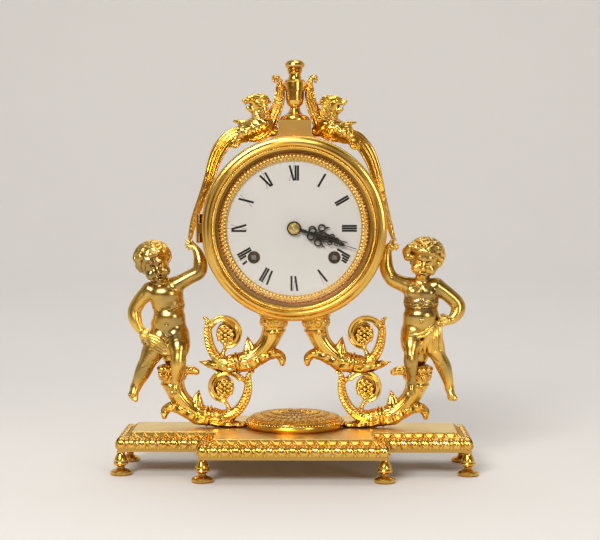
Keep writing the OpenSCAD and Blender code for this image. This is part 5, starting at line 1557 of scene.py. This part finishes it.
def sawn(name, bars, front, angle, body, node, hub):
    """A flat hand of bars and a hub disc, turned to its angle past twelve."""
    build = bmesh.new()
    back = front + SHEET
    for k, bar in enumerate(bars):
        slab(build, bar_outline(bar, BAR_OVERLAP), front - LAYER * (k % 3), back,
             math.radians(angle))
    outer, inner = hub
    loops = [[build.verts.new((r * math.sin(t) * MM, y * MM, (DIAL_Z + r * math.cos(t)) * MM))
              for t in (2 * math.pi * k / HUB_STEPS for k in range(HUB_STEPS))]
             for r, y in ((outer, front), (outer, back), (inner, back), (inner, front))]
    for this, other in zip(loops, loops[1:] + loops[:1]):
        for k in range(HUB_STEPS):
            after = (k + 1) % HUB_STEPS
            build.faces.new((this[k], this[after], other[after], other[k]))
    bmesh.ops.recalc_face_normals(build, faces=build.faces)
    mesh = mesh_of(name, build)
    mesh.materials.append(hand_black)
    piece = linked(name, mesh)
    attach(piece, body)
    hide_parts(node)


# %% [markdown]
# The hour hand has the wide pair of curls with barbs, the minute hand a narrow lace of rings
# and a long thin point.

# %% Cut the hands
hour = tapered([(0, 4), (0, 9), (0, 20), (0, 29), (0, 31.5), (0, 38.8)], [2.2, 1.6, 1.6, 2.4, 0.6])
minute = tapered([(0, 3.5), (0, 8), (0, 18), (0, 30), (0, 37), (0, 46)], [1.6, 1.2, 1.2, 1.9, 0.5])
for side in (1, -1):
    hour += scroll(side, 2.3, 12.8, 2.4, -140, 330, 1.0)
    hour += scroll(side, 5.3, 19.0, 2.7, -200, 400, 1.1, 30, 0.3)
    hour += tapered([(side * 5.6, 21.6), (side * 6.9, 22.6), (side * 7.0, 24.2)], [1.2, 0.6])
    hour += tapered([(side * 1.6, 16.5), (side * 2.6, 21.5), (side * 1.4, 25.8), (0, 27)],
                    [1.1, 1.1, 0.9])
    hour += scroll(side, 1.5, 27.4, 1.4, -90, 300, 0.95)
    hour += tapered([(side * 0.4, 33), (side * 1.5, 30.6)], [0.7])
    minute += scroll(side, 1.9, 13.2, 2.3, -140, 330, 0.8)
    minute += scroll(side, 1.2, 18.2, 1.7, -120, 320, 0.75)
    minute += tapered([(side * 1.2, 20), (side * 2.4, 23), (side * 1.2, 26)], [0.9, 0.8])
    minute += scroll(side, 1.5, 27.0, 1.55, -100, 320, 0.8)
    minute += scroll(side, 0.95, 31.6, 1.1, -100, 320, 0.7)
    minute += tapered([(side * 1.5, 34.0), (side * 0.5, 37.2)], [0.7])
sawn("hour_hand_pierced", hour, -32.5, 104.8, "hour_work", "hour_hand", (5.0, 2.75))
sawn("minute_hand_pierced", minute, -34.1, 108.3, "minute_work", "minute_hand", (4.2, 1.95))
print("bars in the hands:", len(hour) + len(minute))

# %% [markdown]
# ## Leaf mouldings of the plinth
# Two rows of leaves run round the cross: pointed leaves on the upper slope and bulging tongues
# below. They were cast in long strips and mitred. Copies of one leaf could be set in a row, but
# a strip whose surface follows a repeating height keeps its leaves whole round each corner.

# %% Moulding strips
PLAN_X, PLAN_Y, BAY_X, WING_Y = 126.5, 65.8, 66.4, 33.7
MOULDING_FOOT = 17.0
SIDES = 12
LEAF_PITCH = 7.9
STRIP_STEP = 0.36


def cross_plan(inset):
    x, y, c, w = PLAN_X - inset, PLAN_Y - inset, BAY_X - inset, WING_Y - inset
    return np.array([(c, -y), (c, -w), (x, -w), (x, w), (c, w), (c, y),
                     (-c, y), (-c, w), (-x, w), (-x, -w), (-c, -w), (-c, -y)])


def resampled(profile, rows):
    """Evenly spaced points on a smooth path through a profile."""
    profile = np.array(profile, float)
    run = np.concatenate([[0], np.cumsum(np.hypot(*np.diff(profile, axis=0).T))])
    at = np.linspace(0, run[-1], rows)
    return np.column_stack([np.interp(at, run, profile[:, 0]), np.interp(at, run, profile[:, 1])])


def moulding(name, profile, rows, relief):
    """Strips on all twelve sides, of height relief(cell, t), t going from 0 below to 1 above."""
    profile = resampled(profile, rows)
    slope = np.gradient(profile, axis=0)
    out = np.column_stack([slope[:, 1], slope[:, 0]])
    out /= np.linalg.norm(out, axis=1)[:, None]
    t = np.linspace(0, 1, rows)
    plans = np.array([cross_plan(inset) for inset in profile[:, 0]])
    all_corners, all_faces, used = [], [], 0
    for side in range(SIDES):
        after = (side + 1) % SIDES
        start, end = cross_plan(0)[side], cross_plan(0)[after]
        full = np.linalg.norm(end - start)
        along = (end - start) / full
        columns = int(full / STRIP_STEP)
        s = np.linspace(0, 1, columns)[:, None, None]
        flat = plans[None, :, side] + (plans[:, after] - plans[:, side])[None] * s
        u = (flat - (end + start) / 2) @ along
        cells = max(round(full / LEAF_PITCH), 1)
        height = relief((u / full * cells + cells / 2) % 1 - 0.5, t[None, :])
        outward = np.array([along[1], -along[0]])
        flat = flat + (height * out[None, :, 0])[..., None] * outward
        z = MOULDING_FOOT + profile[None, :, 1] + height * out[None, :, 1]
        all_corners.append(np.concatenate([flat, z[..., None]], -1).reshape(-1, 3))
        number = used + np.arange(columns * rows).reshape(columns, rows)
        all_faces.append(net_faces(number[:-1], number[1:]))
        used += columns * rows
    cast(name, np.vstack(all_corners) * MM, np.vstack(all_faces), gilt, "clock", "gilt_brass")


# %% [markdown]
# The upper leaf is widest below and ends in a point, with a rib and a dark triangle on each
# side. The tongue is full and round below, split by a groove, with a thin dart beside it.

# %% Leaf shapes
def pointed_leaf(cell, t):
    half = 0.5 * np.clip(1.04 - t, 0, 1) ** 0.95
    inside = np.clip((half - np.abs(cell)) / 0.09, 0, 1)
    dome = 0.5 + 0.5 * np.clip(1 - np.abs(cell) / np.maximum(half, 0.02), 0, 1)
    veins = 0.10 * np.sin(2 * np.pi * (3.4 * t + 5.0 * np.abs(cell)))
    rib = 0.35 * np.exp(-(cell / 0.05) ** 2)
    low = 0.12 * np.sin(np.pi * np.clip(t, 0, 1))
    leaf = inside * (0.62 * dome + rib * np.clip(1 - t, 0, 1) + veins)
    return 0.05 + low + leaf * np.clip((1.02 - t) / 0.2, 0, 1)


def tongue(cell, t):
    reach = np.clip((0.42 - t) / 0.42, 0, 1)
    half = 0.40 * np.sqrt(np.clip(1 - reach ** 2, 0, 1))
    inside = np.clip((half - np.abs(cell)) / 0.08, 0, 1)
    dome = np.sqrt(np.clip(1 - (np.abs(cell) / np.maximum(half, 0.03)) ** 2, 0, 1))
    split = 0.45 * np.exp(-(cell / 0.045) ** 2) * np.clip(t * 1.5, 0, 1)
    dart = 0.55 * np.exp(-((np.abs(cell) - 0.5) / 0.05) ** 2)
    fade = np.sin(np.pi * np.clip(t, 0, 1)) ** 0.35
    return 0.1 + fade * (inside * (0.35 + 1.05 * dome - split) + dart)


UPPER_SLOPE = [(4.6, 8.45), (5, 8.5), (6.2, 8.9), (7.8, 9.9), (9.2, 11.2), (10.2, 12.4),
               (10.45, 12.95)]
LOWER_SLOPE = [(0.15, 2.5), (0.3, 4.0), (0.5, 5.4), (0.9, 7.0), (1.8, 8.4), (3.2, 9.3), (5, 9.4)]
moulding("plinth_upper_leaves", UPPER_SLOPE, 15, pointed_leaf)
moulding("plinth_lower_leaves", LOWER_SLOPE, 16, tongue)

# %% [markdown]
# ## Round boss
# The boss between the horns is a low dome of overlapping leaves that spread from the middle,
# inside a ring of beads. Rows of leaf tips come from the distance to the middle and the angle.

# %% Boss
DOME_EDGE, DOME_FOOT, DOME_RISE = 34.2, PLINTH_TOP + 5.2, 6.2
BEAD_COUNT, BEAD_RADIUS, BEADS_AT, BEADS_Z = 96, 1.0, 34.7, 35.2


def boss_height(turn, radius):
    """Height of the dome's relief at an angle and a radius."""
    count = 36
    rows = 5.2 * (radius / 34) ** 0.9
    row = np.floor(rows)
    t = rows - row
    cell = (count * turn / (2 * np.pi) + 0.5 * (row % 2)) % 1 - 0.5
    half = 0.5 * np.sqrt(np.clip(1 - t ** 2.2, 0, 1))
    leaf = np.clip((half - np.abs(cell)) / 0.12, 0, 1)
    rib = np.exp(-(cell / 0.07) ** 2)
    rays = 0.2 * np.abs(np.sin(count * turn))
    fade = np.clip(radius / 5, 0, 1)
    return fade * (leaf * (0.35 + 0.5 * t + 0.25 * rib) + rays)


RIM = [(34.3, 35.0), (35.0, 35.4), (35.8, 35.1), (36.2, 34.2), (35.6, 32.6), (34.6, 31.2),
       (33.8, 30.0)]


def boss():
    around, rings = ((1020, 90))
    turn = np.linspace(0, 2 * np.pi, around, endpoint=False)[:, None]
    radius = np.linspace(0.4, 34.05, rings)
    rise = DOME_FOOT + DOME_RISE * np.sqrt(np.clip(1 - (radius / DOME_EDGE) ** 2, 0, 1))
    relief = boss_height(turn, radius[None, :]) * np.clip((DOME_EDGE - radius) / 1.5, 0, 1)
    radius = np.append(radius, [r for r, z in RIM])
    z = np.hstack([rise + relief, np.tile([z for r, z in RIM], (around, 1))])
    rings = len(radius)
    x, y = radius * np.sin(turn), radius * np.cos(turn)
    corners = np.stack([x, y, z], -1).reshape(-1, 3)
    number = np.arange(around * rings).reshape(around, rings)
    after = np.roll(number, -1, 0)
    faces = np.stack([number[:, :-1], number[:, 1:], after[:, 1:], after[:, :-1]], -1)
    leaves = cast("boss_leaves", corners * MM, faces.reshape(-1, 4), gilt, "clock", "gilt_brass")
    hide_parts("boss_patera")


def boss_beads():
    build = bmesh.new()
    for k in range(BEAD_COUNT):
        angle = 2 * math.pi * k / BEAD_COUNT
        bead = bmesh.ops.create_icosphere(build, subdivisions=2, radius=BEAD_RADIUS * MM)
        bmesh.ops.translate(build, verts=bead["verts"],
                            vec=(BEADS_AT * MM * math.cos(angle), BEADS_AT * MM * math.sin(angle),
                                 BEADS_Z * MM))
    mesh = mesh_of("boss_beads", build)
    mesh.shade_smooth()
    mesh.materials.append(gilt)
    beads = linked("boss_beads", mesh)
    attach(beads, "clock")


boss()
boss_beads()

# %% [markdown]
# ## Light
# Gilding needs broad soft light for its long highlights and some darkness between them for its
# depth. One large panel stands high at the front left, a weaker one at the right, and one hangs
# overhead. The last is for the wall alone, and the room itself gives an even fill.

# %% Light
WARM = (1, 0.975, 0.94)
DRUM_MIDDLE = (0, 0, 0.16)


def panel(name, place, aim, width, height, power):
    """A soft rectangular lamp that faces a point."""
    lamp = bpy.data.lights.new(name, "AREA")
    lamp.shape = "RECTANGLE"
    lamp.size, lamp.size_y = width, height
    lamp.energy = power
    lamp.color = WARM
    holder = linked(name, lamp)
    holder.location = place
    holder.rotation_euler = (Vector(aim) - Vector(place)).to_track_quat("-Z", "Y").to_euler()


panel("key_panel", (-0.6, -1.65, 1.2), DRUM_MIDDLE, 0.8, 0.6, 31)
panel("side_panel", (0.9, -1.4, 0.5), DRUM_MIDDLE, 0.35, 0.6, 5)
panel("top_panel", (0.15, 0.1, 1.8), DRUM_MIDDLE, 1.2, 0.7, 6)
panel("wall_panel", (0, 1.5, 2.3), (0, 2.5, 0), 2.4, 0.8, 18.5)
world = bpy.data.worlds.new("room")
world.use_nodes = True
background = world.node_tree.nodes["Background"]
background.inputs["Color"].default_value = (1.0, 0.985, 0.965, 1)
background.inputs["Strength"].default_value = 0.3
bpy.context.scene.world = world
bpy.context.scene.view_settings.view_transform = "Standard"
